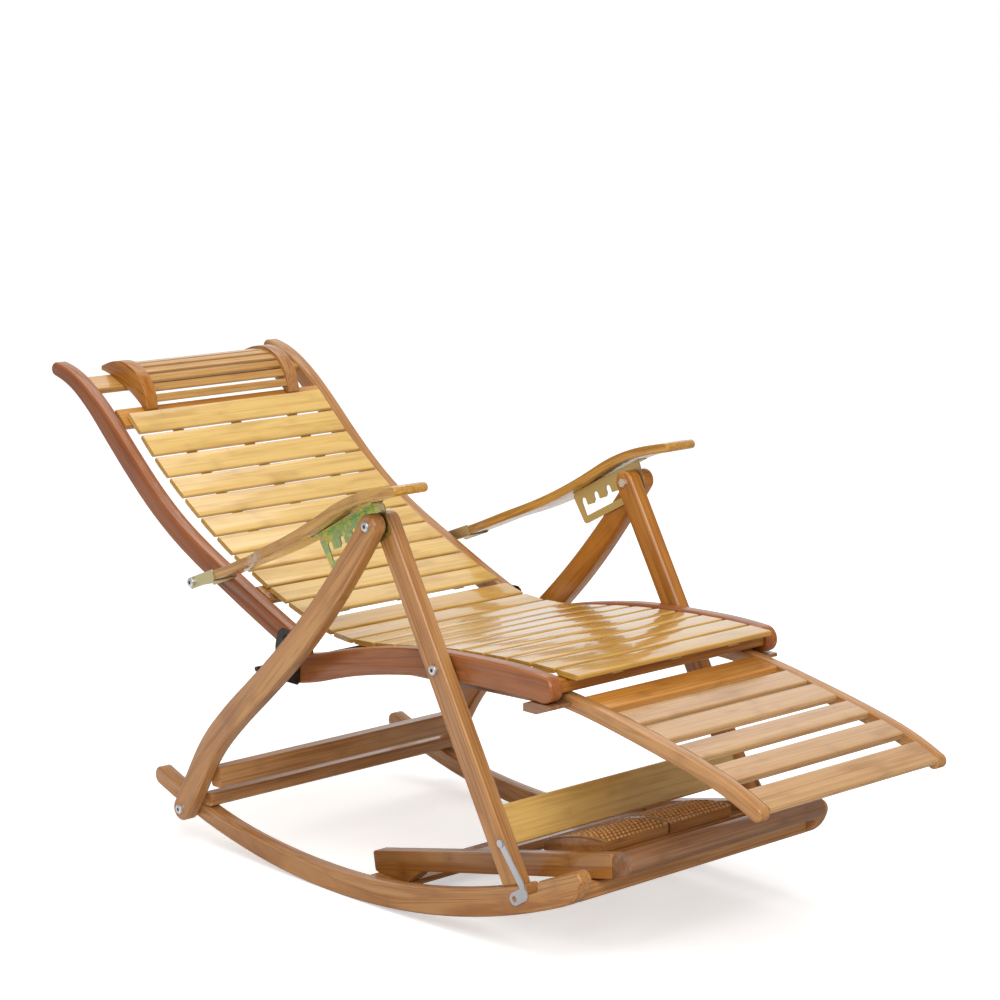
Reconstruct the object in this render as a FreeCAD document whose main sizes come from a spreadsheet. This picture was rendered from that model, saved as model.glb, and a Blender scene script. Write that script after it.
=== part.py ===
import FreeCAD, Part
import math
import os

# Folding rocking recliner of bamboo laths with a sliding footrest and a foot massager.
# The sitter looks along -Y and the floor is Z = 0. The middle plane of the chair is X = 0.
# Side outlines are drawn in the Y-Z plane and given their thickness along X.

doc = FreeCAD.newDocument("recliner")
dims = doc.addObject("Spreadsheet::Sheet", "dims")
vector = FreeCAD.Vector

# Driving sizes in millimetres.
SIZES = {
    "rail_inner": 223.5,
    "rail_thick": 26.0,
    "board_gap": 1.0,
    "leg_thick": 26.0,
    "sheet_metal": 2.0,
    "arm_offset": 9.5,
    "arm_neck_width": 43.0,
    "arm_width": 67.0,
    "arm_thick": 15.0,
    "back_rail_width": 36.0,
    "seat_rail_width": 43.0,
    "front_leg_width": 38.0,
    "rear_leg_width": 43.0,
    "slat_end_gap": 11.5,
    "slat_width": 45.5,
    "slat_pitch": 51.4,
    "slat_thick": 8.0,
    "strap_width": 22.0,
    "strap_thick": 1.6,
    "foot_rail_play": 2.0,
    "foot_rail_thick": 22.0,
    "foot_rail_width": 22.0,
    "runner_thick": 14.5,
    "head_board_inset": 53.5,
    "head_board_thick": 24.5,
    "rocker_lower_radius": 1370.0,
    "massage_board_inner": 190.0,
    "massage_board_thick": 25.0,
    "massage_pad_gap": 2.0,
    "massage_pad_width": 138.0,
    "pin_radius": 4.0,
    "pin_play": 0.06,
    "cheek_gap": 0.3,
    "bracket_gap": 0.2,
    "edge_bevel": 3.0,
}

# Places from the middle plane outwards. Each board stands on the one before it and a running gap.
PLACES = {
    "leg_inner": "=rail_inner + rail_thick + board_gap",
    "slot_plate_inner": "=leg_inner + leg_thick + board_gap",
    "rear_leg_inner": "=slot_plate_inner + sheet_metal + board_gap",
    "arm_inner": "=leg_inner + arm_offset",
    "slat_half_length": "=rail_inner - slat_end_gap",
    "foot_rail_inner": "=rail_inner - runner_thick - foot_rail_play - foot_rail_thick",
    "head_board_inner": "=rail_inner - head_board_inset - head_board_thick",
}
row = 1
for alias, value in list(SIZES.items()) + list(PLACES.items()):
    dims.set("A%d" % row, alias)
    dims.set("B%d" % row, str(value))
    dims.setAlias("B%d" % row, alias)
    row += 1
doc.recompute()


def size(alias):
    return float(getattr(dims, alias))


# Pivots, as (Y, Z), shared by everything that turns on them.
ROCKER_PIVOT = (387.0, 65.0)
TOP_PIVOT = (-102.0, 617.0)
SEAT_PIVOT = (-221.0, 409.5)
SEAT_ROD = (180.0, 343.1)
BACK_PIVOT = (164.0, 386.0)
ARM_PIVOT = (343.0, 461.0)
FOOT = (-386.0, 118.0)
SIDES = (("right", -1), ("left", 1))

nodes = []


# outline helpers
def flat(point):
    return vector(point[0], point[1], 0)


def curve_through(points):
    spline = Part.BSplineCurve()
    spline.interpolate([flat(p) for p in points])
    return spline


def spline_at(spline, y):
    """Point of a curve that runs towards -Y, at one value of Y."""
    low = spline.FirstParameter
    high = spline.LastParameter
    for _ in range(40):
        mid = (low + high) / 2.0
        if spline.value(mid).x > y:
            low = mid
        else:
            high = mid
    return spline.value(low)


def offset_points(points, distances, count):
    """Points beside a middle line. Positive distances lie to the left of its direction."""
    middle = curve_through(points)
    return [beside(middle, distances, step / float(count)) for step in range(count + 1)]


def beside(middle, distances, share):
    """Point at one share of a middle line, moved sideways by a distance that may change along it."""
    first = middle.FirstParameter
    where = first + (middle.LastParameter - first) * share
    place = share * (len(distances) - 1)
    low = min(int(place), len(distances) - 2)
    reach = distances[low] + (distances[low + 1] - distances[low]) * (place - low)
    along = middle.tangent(where)[0]
    at = middle.value(where)
    return (at.x - along.y * reach, at.y + along.x * reach)


def arc_from(start, toward, finish):
    """Arc that leaves start towards one point and comes into finish from it."""
    middle = (start + finish) * 0.5
    half = (finish - start).Length / 2.0
    rise = toward - middle
    if rise.Length < half * 0.002:
        return Part.LineSegment(start, finish)
    bend = math.atan2(rise.Length, half)
    rise.normalize()
    return Part.Arc(start, middle + rise * (half * math.tan(bend / 2.0)), finish)


def arc_pair(start, leaving, finish, coming):
    """Two arcs that meet smoothly and join two points in given directions."""
    chord = finish - start
    both = leaving + coming
    spread = 2.0 * (1.0 - leaving.dot(coming))
    lean = chord.dot(both)
    if spread < 1e-6:
        reach = chord.dot(chord) / (2.0 * lean)
    else:
        reach = (math.sqrt(lean ** 2 + spread * chord.dot(chord)) - lean) / spread
    first = start + leaving * reach
    last = finish - coming * reach
    joint = (first + last) * 0.5
    return [arc_from(start, first, joint), arc_from(joint, last, finish)]


def smooth_edge(points, distances, count):
    """Chain of arcs beside a middle line, smooth where one arc meets the next."""
    middle = curve_through(points)
    step = 0.0005
    places = []
    for i in range(count + 1):
        share = i / float(count)
        ahead = flat(beside(middle, distances, min(share + step, 1.0)))
        behind = flat(beside(middle, distances, max(share - step, 0.0)))
        way = ahead - behind
        way.normalize()
        places.append((flat(beside(middle, distances, share)), way))
    arcs = []
    for (start, leaving), (finish, coming) in zip(places, places[1:]):
        arcs += arc_pair(start, leaving, finish, coming)
    return arcs


def way_at(shape, parameter):
    return shape.tangent(parameter)[0]


def round_nose(edge, next_edge):
    """Two arcs that turn smoothly from the end of one long edge into the start of the next."""
    return arc_pair(edge.EndPoint, way_at(edge, edge.LastParameter),
                    next_edge.StartPoint, way_at(next_edge, next_edge.FirstParameter))


def reverse_chain(arcs):
    """The same chain of arcs run from its far end to its start."""
    turned_round = []
    for arc in reversed(arcs):
        if arc.TypeId == "Part::GeomLineSegment":
            turned_round.append(Part.LineSegment(arc.EndPoint, arc.StartPoint))
        else:
            middle = arc.value((arc.FirstParameter + arc.LastParameter) / 2.0)
            turned_round.append(Part.Arc(arc.EndPoint, middle, arc.StartPoint))
    return turned_round


def band(points, widths, count=3):
    """Closed outline of a bent lath: two long edges made of arcs, and two round ends."""
    half = [w / 2.0 for w in widths]
    right = smooth_edge(points, [-w for w in half], count)
    left = reverse_chain(smooth_edge(points, half, count))
    return right + round_nose(right[-1], left[0]) + left + round_nose(left[-1], right[0])


def straight_band(start, finish, width, start_bulge=None, end_bulge=None):
    """Closed outline of a straight lath between two points."""
    along = flat(finish).sub(flat(start))
    along.normalize()
    side = vector(-along.y, along.x, 0) * (width / 2.0)
    a = flat(start).sub(side)
    b = flat(finish).sub(side)
    c = flat(finish).add(side)
    d = flat(start).add(side)
    start_bulge = width / 2.0 if start_bulge is None else start_bulge
    end_bulge = width / 2.0 if end_bulge is None else end_bulge
    shapes = [Part.LineSegment(a, b)]
    if end_bulge > 0:
        shapes.append(Part.Arc(b, flat(finish).add(along * end_bulge), c))
    else:
        shapes.append(Part.LineSegment(b, c))
    shapes.append(Part.LineSegment(c, d))
    if start_bulge > 0:
        shapes.append(Part.Arc(d, flat(start).sub(along * start_bulge), a))
    else:
        shapes.append(Part.LineSegment(d, a))
    return shapes


def loop_of(points):
    return [Part.LineSegment(flat(points[i]), flat(points[(i + 1) % len(points)]))
            for i in range(len(points))]


def rounded_loop(points, radius):
    """Closed outline through corner points with every corner rounded."""
    shapes = []
    cuts = []
    total = len(points)
    for i in range(total):
        here = flat(points[i])
        before = flat(points[i - 1]).sub(here)
        after = flat(points[(i + 1) % total]).sub(here)
        corner = before.getAngle(after)
        reach = min(radius / math.tan(corner / 2.0), before.Length * 0.49, after.Length * 0.49)
        real = reach * math.tan(corner / 2.0)
        before.normalize()
        after.normalize()
        bisector = before.add(after)
        bisector.normalize()
        centre = here.add(bisector * (real / math.sin(corner / 2.0)))
        middle = centre.sub(bisector * real)
        cuts.append((here.add(before * reach), middle, here.add(after * reach)))
    for i in range(total):
        shapes.append(Part.Arc(cuts[i][0], cuts[i][1], cuts[i][2]))
        shapes.append(Part.LineSegment(cuts[i][2], cuts[(i + 1) % total][0]))
    return shapes


def bevelled_loop(points, cut):
    """Closed outline through corner points with every corner cut off."""
    ends = []
    for i in range(len(points)):
        here = flat(points[i])
        for other in (points[i - 1], points[(i + 1) % len(points)]):
            run = flat(other) - here
            reach = min(cut, run.Length * 0.45)
            run.normalize()
            ends.append(here + run * reach)
    return loop_of([(p.x, p.y) for p in ends])


def circle_at(centre, radius):
    return [Part.Circle(flat(centre), vector(0, 0, 1), radius)]


# body helpers
def new_body(name):
    body = doc.addObject("PartDesign::Body", name)
    body.AllowCompound = True
    return body


def plane_of(body, role):
    for item in body.Origin.OriginFeatures:
        if item.Role == role:
            return item
    raise ValueError(role)


def side_sketch(body, name, shapes, offset):
    """Sketch in the Y-Z plane, moved along X by an expression or a number."""
    sketch = body.newObject("Sketcher::SketchObject", name)
    sketch.AttachmentSupport = (plane_of(body, "YZ_Plane"), [""])
    sketch.MapMode = "FlatFace"
    if isinstance(offset, str):
        sketch.setExpression("AttachmentOffset.Base.z", offset)
    else:
        sketch.AttachmentOffset = FreeCAD.Placement(vector(0, 0, offset), FreeCAD.Rotation())
    for shape in shapes:
        sketch.addGeometry(shape, False)
    return sketch


def pad(body, name, shapes, side, inner, thick):
    """Board of one thickness. Its inner face stands at inner on the given side."""
    sign = "-1 * " if side < 0 else ""
    sketch = side_sketch(body, name + "_outline", shapes, sign + "(" + inner + ")")
    board = body.newObject("PartDesign::Pad", name)
    board.Profile = sketch
    board.setExpression("Length", thick)
    board.Reversed = side < 0
    doc.recompute()
    return board


def wide_pad(body, name, shapes, half):
    """Board or bar that runs across the chair, the same on both sides of X = 0."""
    sketch = side_sketch(body, name + "_outline", shapes, 0.0)
    board = body.newObject("PartDesign::Pad", name)
    board.Profile = sketch
    board.setExpression("Length", "2 * (" + half + ")")
    board.Midplane = True
    doc.recompute()
    return board


def cut_through(body, name, shapes):
    """Opening cut right through the body along X."""
    sketch = side_sketch(body, name + "_outline", shapes, 0.0)
    hole = body.newObject("PartDesign::Pocket", name)
    hole.Profile = sketch
    hole.Type = 1
    hole.Midplane = True
    before = body.Shape.Volume
    doc.recompute()
    if body.Shape.Volume > before - 0.5:
        raise ValueError("nothing was cut by " + name)
    return hole


def ease_edges(body, feature, cut):
    """Bevel the outline edges of both flat faces of a board."""
    flat_edges = [index for index, edge in enumerate(feature.Shape.Edges) if edge.BoundBox.XLength < 0.01]
    picked = ["Edge%d" % (index + 1) for index in flat_edges]
    bevel = body.newObject("PartDesign::Chamfer", feature.Name + "_bevel")
    bevel.Base = (feature, picked)
    bevel.Size = cut
    doc.recompute()
    return bevel


def finish(body, name):
    body.Label = name
    nodes.append((name, body))
    return body


def box_rail(name, half, low, high, cut):
    """Straight bar across the chair with bevelled long edges."""
    body = new_body(name)
    corners = [(low[0], low[1]), (high[0], low[1]), (high[0], high[1]), (low[0], high[1])]
    wide_pad(body, name + "_bar", bevelled_loop(corners, cut), half)
    return finish(body, name)


def tilted_box(centre, direction, length, thick):
    """Corner points of a rectangle whose long side follows a direction."""
    along = flat(direction)
    along.normalize()
    side = vector(-along.y, along.x, 0) * (thick / 2.0)
    run = along * (length / 2.0)
    c = flat(centre)
    pts = [c.sub(run).sub(side), c.add(run).sub(side), c.add(run).add(side), c.sub(run).add(side)]
    return [(p.x, p.y) for p in pts]


def rod(centre, radius, x_low, x_high):
    """Round bar along X as a plain solid."""
    return Part.makeCylinder(radius, x_high - x_low, vector(x_low, centre[0], centre[1]), vector(1, 0, 0))


def group(name, solids):
    """Several like fasteners kept together as separate solids of one file."""
    item = doc.addObject("Part::Feature", name)
    item.Shape = Part.makeCompound(solids)
    item.Label = name
    nodes.append((name, item))
    return item


def on_side(side, near, far):
    """X range of a span given by distances from the middle plane."""
    return (near, far) if side > 0 else (-far, -near)


pin_radius = size("pin_radius")
bore_radius = pin_radius + size("pin_play")

# rockers and their bars
lower_radius = size("rocker_lower_radius")
ROCKER_MIDDLE = 24.0


def rocker_floor(y):
    """Height of the rocker's running edge above the floor."""
    return lower_radius - math.sqrt(lower_radius ** 2 - (y - ROCKER_MIDDLE) ** 2)


ROCKER_REAR = (487.0, rocker_floor(487.0))
ROCKER_FRONT = (-500.0, rocker_floor(-500.0))
rocker_top = [(480.0, 111.0), (455.0, 102.0), (290.0, 57.5), (110.0, 39.5), (-68.0, 42.0), (-225.0, 66.0),
              (-394.0, 111.0), (-517.0, 161.0)]
LATCH_SCREW = (-371.0, 172.0)
NOTCH_FRONT = -450.0
NOTCH_REAR = -421.0


def top_height(y):
    return spline_at(curve_through(rocker_top), y).y


for side_name, side in SIDES:
    body = new_body("rocker_" + side_name)
    run = Part.Arc(flat(ROCKER_FRONT), flat((ROCKER_MIDDLE, 0.0)), flat(ROCKER_REAR))
    crown = smooth_edge(rocker_top, [0.0, 0.0], 4)
    outline = [run] + round_nose(run, crown[0]) + crown + round_nose(crown[-1], run)
    board = pad(body, "rocker_board_" + side_name, outline, side, "dims.leg_inner", "dims.leg_thick")
    ease_edges(body, board, size("edge_bevel"))
    # Recess in the top edge in front of the foot of the front leg.
    depth = 17.0
    recess = [(NOTCH_REAR, top_height(NOTCH_REAR) + 8.0), (NOTCH_REAR - 4.0, top_height(NOTCH_REAR) - depth),
              (NOTCH_FRONT + 2.0, top_height(NOTCH_FRONT) - depth), (NOTCH_FRONT, top_height(NOTCH_FRONT) + 8.0)]
    cut_through(body, "recess_" + side_name, loop_of(recess))
    cut_through(body, "rocker_bore_" + side_name, circle_at(ROCKER_PIVOT, bore_radius))
    finish(body, "rocker_" + side_name)

SEAT_GAP = 0.3
box_rail("rocker_bar_front", "dims.leg_inner", (-512.0, 108.0), (-484.0, 131.5), 3.0)
bar_foot = top_height(359.0) + SEAT_GAP
box_rail("rocker_bar_rear", "dims.leg_inner + dims.leg_thick", (338.0, bar_foot), (362.0, bar_foot + 22.0), 3.0)
box_rail("massager_shelf", "dims.leg_inner", (-90.0, 20.0), (-14.0, 29.5), 2.5)

# foot massager
MASSAGE_REAR = (-4.0, 63.0)
MASSAGE_FRONT = (-541.0, 180.0)
massage_slope = (MASSAGE_FRONT[1] - MASSAGE_REAR[1]) / (MASSAGE_FRONT[0] - MASSAGE_REAR[0])


def massage_top(y):
    return MASSAGE_REAR[1] + (y - MASSAGE_REAR[0]) * massage_slope


for side_name, side in SIDES:
    body = new_body("massager_side_" + side_name)
    outline = bevelled_loop([MASSAGE_REAR, MASSAGE_FRONT, (MASSAGE_FRONT[0], MASSAGE_FRONT[1] - 37.0),
                            (-120.0, massage_top(-120.0) - 33.0), (-90.0, 30.0), (-10.0, 30.0)], 3.0)
    board = pad(body, "massage_board_" + side_name, outline, side,
                "dims.massage_board_inner", "dims.massage_board_thick")
    finish(body, "massager_side_" + side_name)

# Bar across the front of the massager: flat behind, with a rounded nose.
NOSE_ROOT = 21.0
NOSE_REACH = 40.0
NOSE_RISE = 9.0
NOSE_DROP = 27.0
NOSE_TIP_DROP = 8.0
FRONT_BAR_GAP = 0.5


def from_massage_front(reach, rise):
    """Point at a distance in front of the massager's side boards and above their front corner."""
    return flat((MASSAGE_FRONT[0] - reach, MASSAGE_FRONT[1] + rise))


body = new_body("massager_front_rail")
rear_top = from_massage_front(FRONT_BAR_GAP, -2.0)
rear_low = from_massage_front(FRONT_BAR_GAP, -36.0)
root_low = from_massage_front(NOSE_ROOT, -NOSE_DROP)
root_top = from_massage_front(NOSE_ROOT, NOSE_RISE)
nose = [Part.LineSegment(rear_top, rear_low), Part.LineSegment(rear_low, root_low),
        Part.Arc(root_low, from_massage_front(NOSE_REACH, -NOSE_TIP_DROP), root_top),
        Part.LineSegment(root_top, rear_top)]
wide_pad(body, "massage_front_bar", nose, "dims.massage_board_inner + dims.massage_board_thick")
finish(body, "massager_front_rail")

PLANKS = ((-190.0, 70.0), (-345.0, 60.0), (-425.0, 60.0))
slope_way = (1.0, massage_slope)
body = new_body("massager_planks")
planks = []
for y, breadth in PLANKS:
    planks += bevelled_loop(tilted_box((y, massage_top(y) - 21.0), slope_way, breadth, 12.0), 2.0)
wide_pad(body, "massager_plank_row", planks, "dims.massage_board_inner")
finish(body, "massager_planks")

# Two crowned boards for the soles, one under each foot.
PAD_REAR = -320.0
PAD_FRONT = -452.0
PAD_THICK = 15.6
PAD_RISE = 1.0
PAD_CROWN = 9.0
for side_name, side in SIDES:
    body = new_body("massage_pad_" + side_name)
    rise_rear = (PAD_REAR, massage_top(PAD_REAR) + PAD_RISE)
    rise_front = (PAD_FRONT, massage_top(PAD_FRONT) + PAD_RISE)
    seat_rear = (PAD_REAR, rise_rear[1] - PAD_THICK)
    seat_front = (PAD_FRONT, rise_front[1] - PAD_THICK)
    mid = ((PAD_REAR + PAD_FRONT) / 2.0, massage_top((PAD_REAR + PAD_FRONT) / 2.0) + PAD_CROWN)
    outline = [Part.LineSegment(flat(seat_front), flat(seat_rear)),
               Part.LineSegment(flat(seat_rear), flat(rise_rear)),
               Part.Arc(flat(rise_rear), flat(mid), flat(rise_front)),
               Part.LineSegment(flat(rise_front), flat(seat_front))]
    pad(body, "massage_crown_" + side_name, outline, side, "dims.massage_pad_gap", "dims.massage_pad_width")
    finish(body, "massage_pad_" + side_name)

# rear legs
rear_leg_line = [TOP_PIVOT, (-29.0, 521.0), (87.0, 393.0), (166.0, 321.0), (247.0, 250.0), (313.0, 182.0),
                 (352.0, 122.0), ROCKER_PIVOT]
wide = size("rear_leg_width")
for side_name, side in SIDES:
    body = new_body("rear_leg_" + side_name)
    board = pad(body, "rear_leg_board_" + side_name,
                band(rear_leg_line, [37.0, 41.0, wide, wide, wide, 42.0, 40.0], count=4), side,
                "dims.rear_leg_inner", "dims.leg_thick")
    ease_edges(body, board, size("edge_bevel"))
    cut_through(body, "rear_leg_top_bore_" + side_name, circle_at(TOP_PIVOT, bore_radius))
    cut_through(body, "rear_leg_foot_bore_" + side_name, circle_at(ROCKER_PIVOT, bore_radius))
    finish(body, "rear_leg_" + side_name)

box_rail("rear_leg_bar", "dims.rear_leg_inner", (306.0, 112.0), (332.0, 148.0), 3.0)

# front legs
leg_way = flat(FOOT).sub(flat(TOP_PIVOT))
leg_way.normalize()
leg_half = size("front_leg_width") / 2.0
leg_side = vector(-leg_way.y, leg_way.x, 0)


def leg_point(along, across):
    """Point on a front leg: along its length from the top pivot, across towards the rear."""
    p = flat(TOP_PIVOT).add(leg_way * along).add(leg_side * across)
    return (p.x, p.y)


def leg_end(across):
    """Length at which a long edge of the front leg meets the rocker's top edge."""
    low = 400.0
    high = 700.0
    for _ in range(40):
        mid = (low + high) / 2.0
        p = leg_point(mid, across)
        if p[1] > top_height(p[0]) + 0.4:
            low = mid
        else:
            high = mid
    return low


for side_name, side in SIDES:
    body = new_body("front_leg_" + side_name)
    rear_top = leg_point(0.0, leg_half)
    front_top = leg_point(0.0, -leg_half)
    rear_foot = leg_point(leg_end(leg_half), leg_half)
    front_foot = leg_point(leg_end(-leg_half), -leg_half)
    crown = Part.Arc(flat(front_top), flat(leg_point(-leg_half, 0.0)), flat(rear_top))
    outline = [Part.LineSegment(flat(rear_top), flat(rear_foot)),
               Part.LineSegment(flat(rear_foot), flat(front_foot)),
               Part.LineSegment(flat(front_foot), flat(front_top)), crown]
    board = pad(body, "front_leg_board_" + side_name, outline, side, "dims.leg_inner", "dims.leg_thick")
    ease_edges(body, board, size("edge_bevel"))
    cut_through(body, "front_leg_top_bore_" + side_name, circle_at(TOP_PIVOT, bore_radius))
    cut_through(body, "front_leg_seat_bore_" + side_name, circle_at(SEAT_PIVOT, bore_radius))
    finish(body, "front_leg_" + side_name)

body = new_body("front_leg_board")
wide_pad(body, "front_cross_board",
         bevelled_loop(tilted_box(leg_point(leg_end(0.0) - 88.0, -8.0), (leg_way.x, leg_way.y), 62.0, 14.0), 2.0),
         "dims.leg_inner")
finish(body, "front_leg_board")

# seat frame
seat_line = [(166.0, 338.0), (100.0, 350.0), (6.0, 375.0), (-90.0, 395.0), (-161.0, 405.5), (-274.0, 412.0),
             (-361.0, 414.0), (-427.0, 411.5)]
seat_wide = size("seat_rail_width")
for side_name, side in SIDES:
    body = new_body("seat_rail_" + side_name)
    board = pad(body, "seat_rail_board_" + side_name,
                band(seat_line, [48.0, seat_wide, seat_wide, seat_wide, 42.0]), side,
                "dims.rail_inner", "dims.rail_thick")
    ease_edges(body, board, size("edge_bevel"))
    cut_through(body, "seat_rod_bore_" + side_name, circle_at(SEAT_ROD, bore_radius))
    cut_through(body, "seat_bolt_bore_" + side_name, circle_at(SEAT_PIVOT, bore_radius))
    finish(body, "seat_rail_" + side_name)

box_rail("seat_bar_front", "dims.rail_inner", (-440.0, 403.0), (-414.0, 425.2), 3.0)

# Runner on the inner face of each seat rail with a slot for the pegs of the footrest.
PEG_FRONT = (-400.0, 391.5)
PEG_REAR = (-236.0, 385.5)
FOOT_TRAVEL = 200.0
slot_way = flat(PEG_REAR).sub(flat(PEG_FRONT))
slot_way.normalize()
peg_radius = 4.0
PEG_END_GAP = 0.3
RUNNER_END = 12.0


def on_slot(peg, reach):
    """Point at a distance behind a peg along the way that the footrest slides."""
    return (peg[0] + slot_way.x * reach, peg[1] + slot_way.y * reach)


slot_start = on_slot(PEG_FRONT, -PEG_END_GAP)
slot_finish = on_slot(PEG_REAR, FOOT_TRAVEL + PEG_END_GAP)
for side_name, side in SIDES:
    body = new_body("seat_runner_" + side_name)
    outline = straight_band(on_slot(slot_start, -RUNNER_END), on_slot(slot_finish, RUNNER_END), 18.0, 3.0, 3.0)
    pad(body, "runner_board_" + side_name, outline, side, "dims.rail_inner - dims.runner_thick",
        "dims.runner_thick")
    cleat = [(-388.0, 385.0), (-388.0, 373.0), (-416.0, 373.0), (-446.0, 384.0), (-446.0, 389.8), (-400.0, 389.8)]
    pad(body, "cleat_block_" + side_name, loop_of(cleat), side, "dims.rail_inner - dims.runner_thick",
        "dims.runner_thick + dims.rail_thick")
    cut_through(body, "runner_slot_" + side_name, straight_band(slot_start, slot_finish, 2 * (peg_radius + 0.1)))
    finish(body, "seat_runner_" + side_name)

# back frame
back_line = [BACK_PIVOT, (260.0, 426.0), (352.0, 467.0), (447.0, 512.5), (530.0, 566.0), (600.0, 624.0),
             (672.0, 688.0), (728.0, 732.0), (780.0, 756.0), (806.0, 762.5)]
back_wide = size("back_rail_width")
for side_name, side in SIDES:
    body = new_body("back_rail_" + side_name)
    board = pad(body, "back_rail_board_" + side_name,
                band(back_line, [back_wide, back_wide, back_wide, back_wide, 24.0], count=5), side,
                "dims.rail_inner", "dims.rail_thick")
    ease_edges(body, board, size("edge_bevel"))
    cut_through(body, "back_pivot_bore_" + side_name, circle_at(BACK_PIVOT, bore_radius))
    cut_through(body, "arm_pivot_bore_" + side_name, circle_at(ARM_PIVOT, bore_radius))
    finish(body, "back_rail_" + side_name)

# Each bar with its middle, its direction and its breadth.
BACK_BARS = (("back_bar_top", (735.0, 738.0), (1.0, 0.389), 46.0),
             ("back_bar_neck", (649.7, 687.4), (1.0, 0.86), 40.0),
             ("back_bar_low", (261.8, 439.3), (1.0, 0.44), 40.0))
for name, centre, way, breadth in BACK_BARS:
    body = new_body(name)
    wide_pad(body, name + "_board", bevelled_loop(tilted_box(centre, way, breadth, 12.0), 2.0), "dims.rail_inner")
    finish(body, name)

# slats and webbing
back_mat = [(642.0, 697.0), (608.0, 667.0), (570.0, 633.0), (529.0, 601.0), (486.0, 571.0), (444.0, 544.0),
            (400.0, 518.0), (355.0, 494.0), (304.0, 471.0), (257.0, 451.0), (210.0, 434.0), (172.0, 422.0)]
seat_mat = [(142.0, 413.5), (110.0, 405.5), (68.0, 399.5), (22.0, 399.0), (-30.0, 403.0), (-80.0, 409.5),
            (-160.0, 420.0), (-260.0, 428.0), (-360.0, 432.0), (-446.0, 431.0)]


def mat_places(line):
    """Middle and direction of each slat, at one pitch from the start of a mat line to its end."""
    spline = curve_through(line)
    places = []
    first = spline.FirstParameter
    count = int((spline.length() - size("slat_width") / 2.0) / size("slat_pitch")) + 1
    for i in range(count):
        length = size("slat_pitch") * i + size("slat_width") / 2.0
        where = spline.parameterAtDistance(length, first)
        at = spline.value(where)
        along = spline.tangent(where)[0]
        places.append(((at.x, at.y), (along.x, along.y)))
    return places


def slats(name, line):
    body = new_body(name)
    shapes = []
    for centre, way in mat_places(line):
        shapes += bevelled_loop(tilted_box(centre, way, size("slat_width"), size("slat_thick")), 2.0)
    wide_pad(body, name + "_row", shapes, "dims.slat_half_length")
    return finish(body, name)


slats("back_slats", back_mat)
slats("seat_slats", seat_mat)

STRAPS = (("outer_right", -127.0), ("middle", 0.0), ("outer_left", 127.0))


def webbing(name, line):
    """Three straps under one mat. Each strap runs straight below a slat and on to the next."""
    near = []
    far = []
    drop = size("slat_thick") / 2.0 + SEAT_GAP
    for centre, way in mat_places(line):
        under = vector(way[1], -way[0], 0)
        if under.y > 0:
            under = under * -1.0
        for end in (-1.0, 1.0):
            edge = flat(centre).add(flat(way) * (end * (size("slat_width") / 2.0 - 2.0)))
            near.append(edge.add(under * drop))
            far.append(edge.add(under * (drop + size("strap_thick"))))
    outline = loop_of([(p.x, p.y) for p in near + far[::-1]])
    body = new_body(name)
    for strap, middle in STRAPS:
        sketch = side_sketch(body, name + "_" + strap + "_outline", outline, middle)
        board = body.newObject("PartDesign::Pad", name + "_" + strap)
        board.Profile = sketch
        board.setExpression("Length", "dims.strap_width")
        board.Midplane = True
    doc.recompute()
    return finish(body, name)


webbing("back_webbing", back_mat)
webbing("seat_webbing", seat_mat)

# headrest
head_chord = [(778.0, 757.0), (752.0, 751.5), (707.0, 734.0), (664.4, 708.3), (647.6, 694.0)]
head_crest = [(778.0, 764.0), (751.0, 773.5), (723.0, 777.5), (700.0, 774.0), (679.0, 764.0), (662.0, 749.0),
              (651.0, 731.0), (646.0, 714.0), (643.5, 702.0)]
for side_name, side in SIDES:
    body = new_body("headrest_board_" + side_name)
    lower = smooth_edge(head_chord, [0.0, 0.0], 2)
    upper = reverse_chain(smooth_edge(head_crest, [0.0, 0.0], 4))
    outline = lower + [Part.LineSegment(flat(head_chord[-1]), flat(head_crest[-1]))] + upper
    outline.append(Part.LineSegment(flat(head_crest[0]), flat(head_chord[0])))
    board = pad(body, "head_board_" + side_name, outline, side, "dims.head_board_inner", "dims.head_board_thick")
    finish(body, "headrest_board_" + side_name)

head_line = [(752.0, 765.5), (723.0, 769.0), (701.0, 765.5), (683.0, 757.0), (668.0, 743.0), (658.0, 728.0),
             (652.0, 714.0)]
body = new_body("headrest_strips")
spline = curve_through(head_line)
shapes = []
STRIPS = 7
STRIP_FIRST = 8.0
STRIP_PITCH = 19.0
for i in range(STRIPS):
    where = spline.parameterAtDistance(STRIP_FIRST + STRIP_PITCH * i, spline.FirstParameter)
    at = spline.value(where)
    along = spline.tangent(where)[0]
    shapes += bevelled_loop(tilted_box((at.x, at.y), (along.x, along.y), 14.0, 6.0), 1.5)
wide_pad(body, "headrest_strip_row", shapes, "dims.head_board_inner")
finish(body, "headrest_strips")

# footrest
foot_line = [(-222.0, 385.0), (-300.0, 389.0), (-400.0, 391.5), (-440.0, 387.5), (-506.0, 377.5), (-588.0, 361.5),
             (-667.0, 344.5), (-744.0, 323.5), (-808.0, 297.5)]
for side_name, side in SIDES:
    body = new_body("footrest_rail_" + side_name)
    board = pad(body, "foot_rail_board_" + side_name, band(foot_line, [size("foot_rail_width")] * 2),
                side, "dims.foot_rail_inner", "dims.foot_rail_thick")
    ease_edges(body, board, 2.0)
    finish(body, "footrest_rail_" + side_name)

FOOT_SLATS = ((-540.0, 46.0), (-597.0, 50.0), (-662.0, 46.0), (-729.0, 47.0), (-793.0, 48.0))
foot_spline = curve_through(foot_line)


def foot_place(y):
    at = spline_at(foot_spline, y)
    along = foot_spline.tangent(foot_spline.parameter(at))[0]
    return at, along


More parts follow.
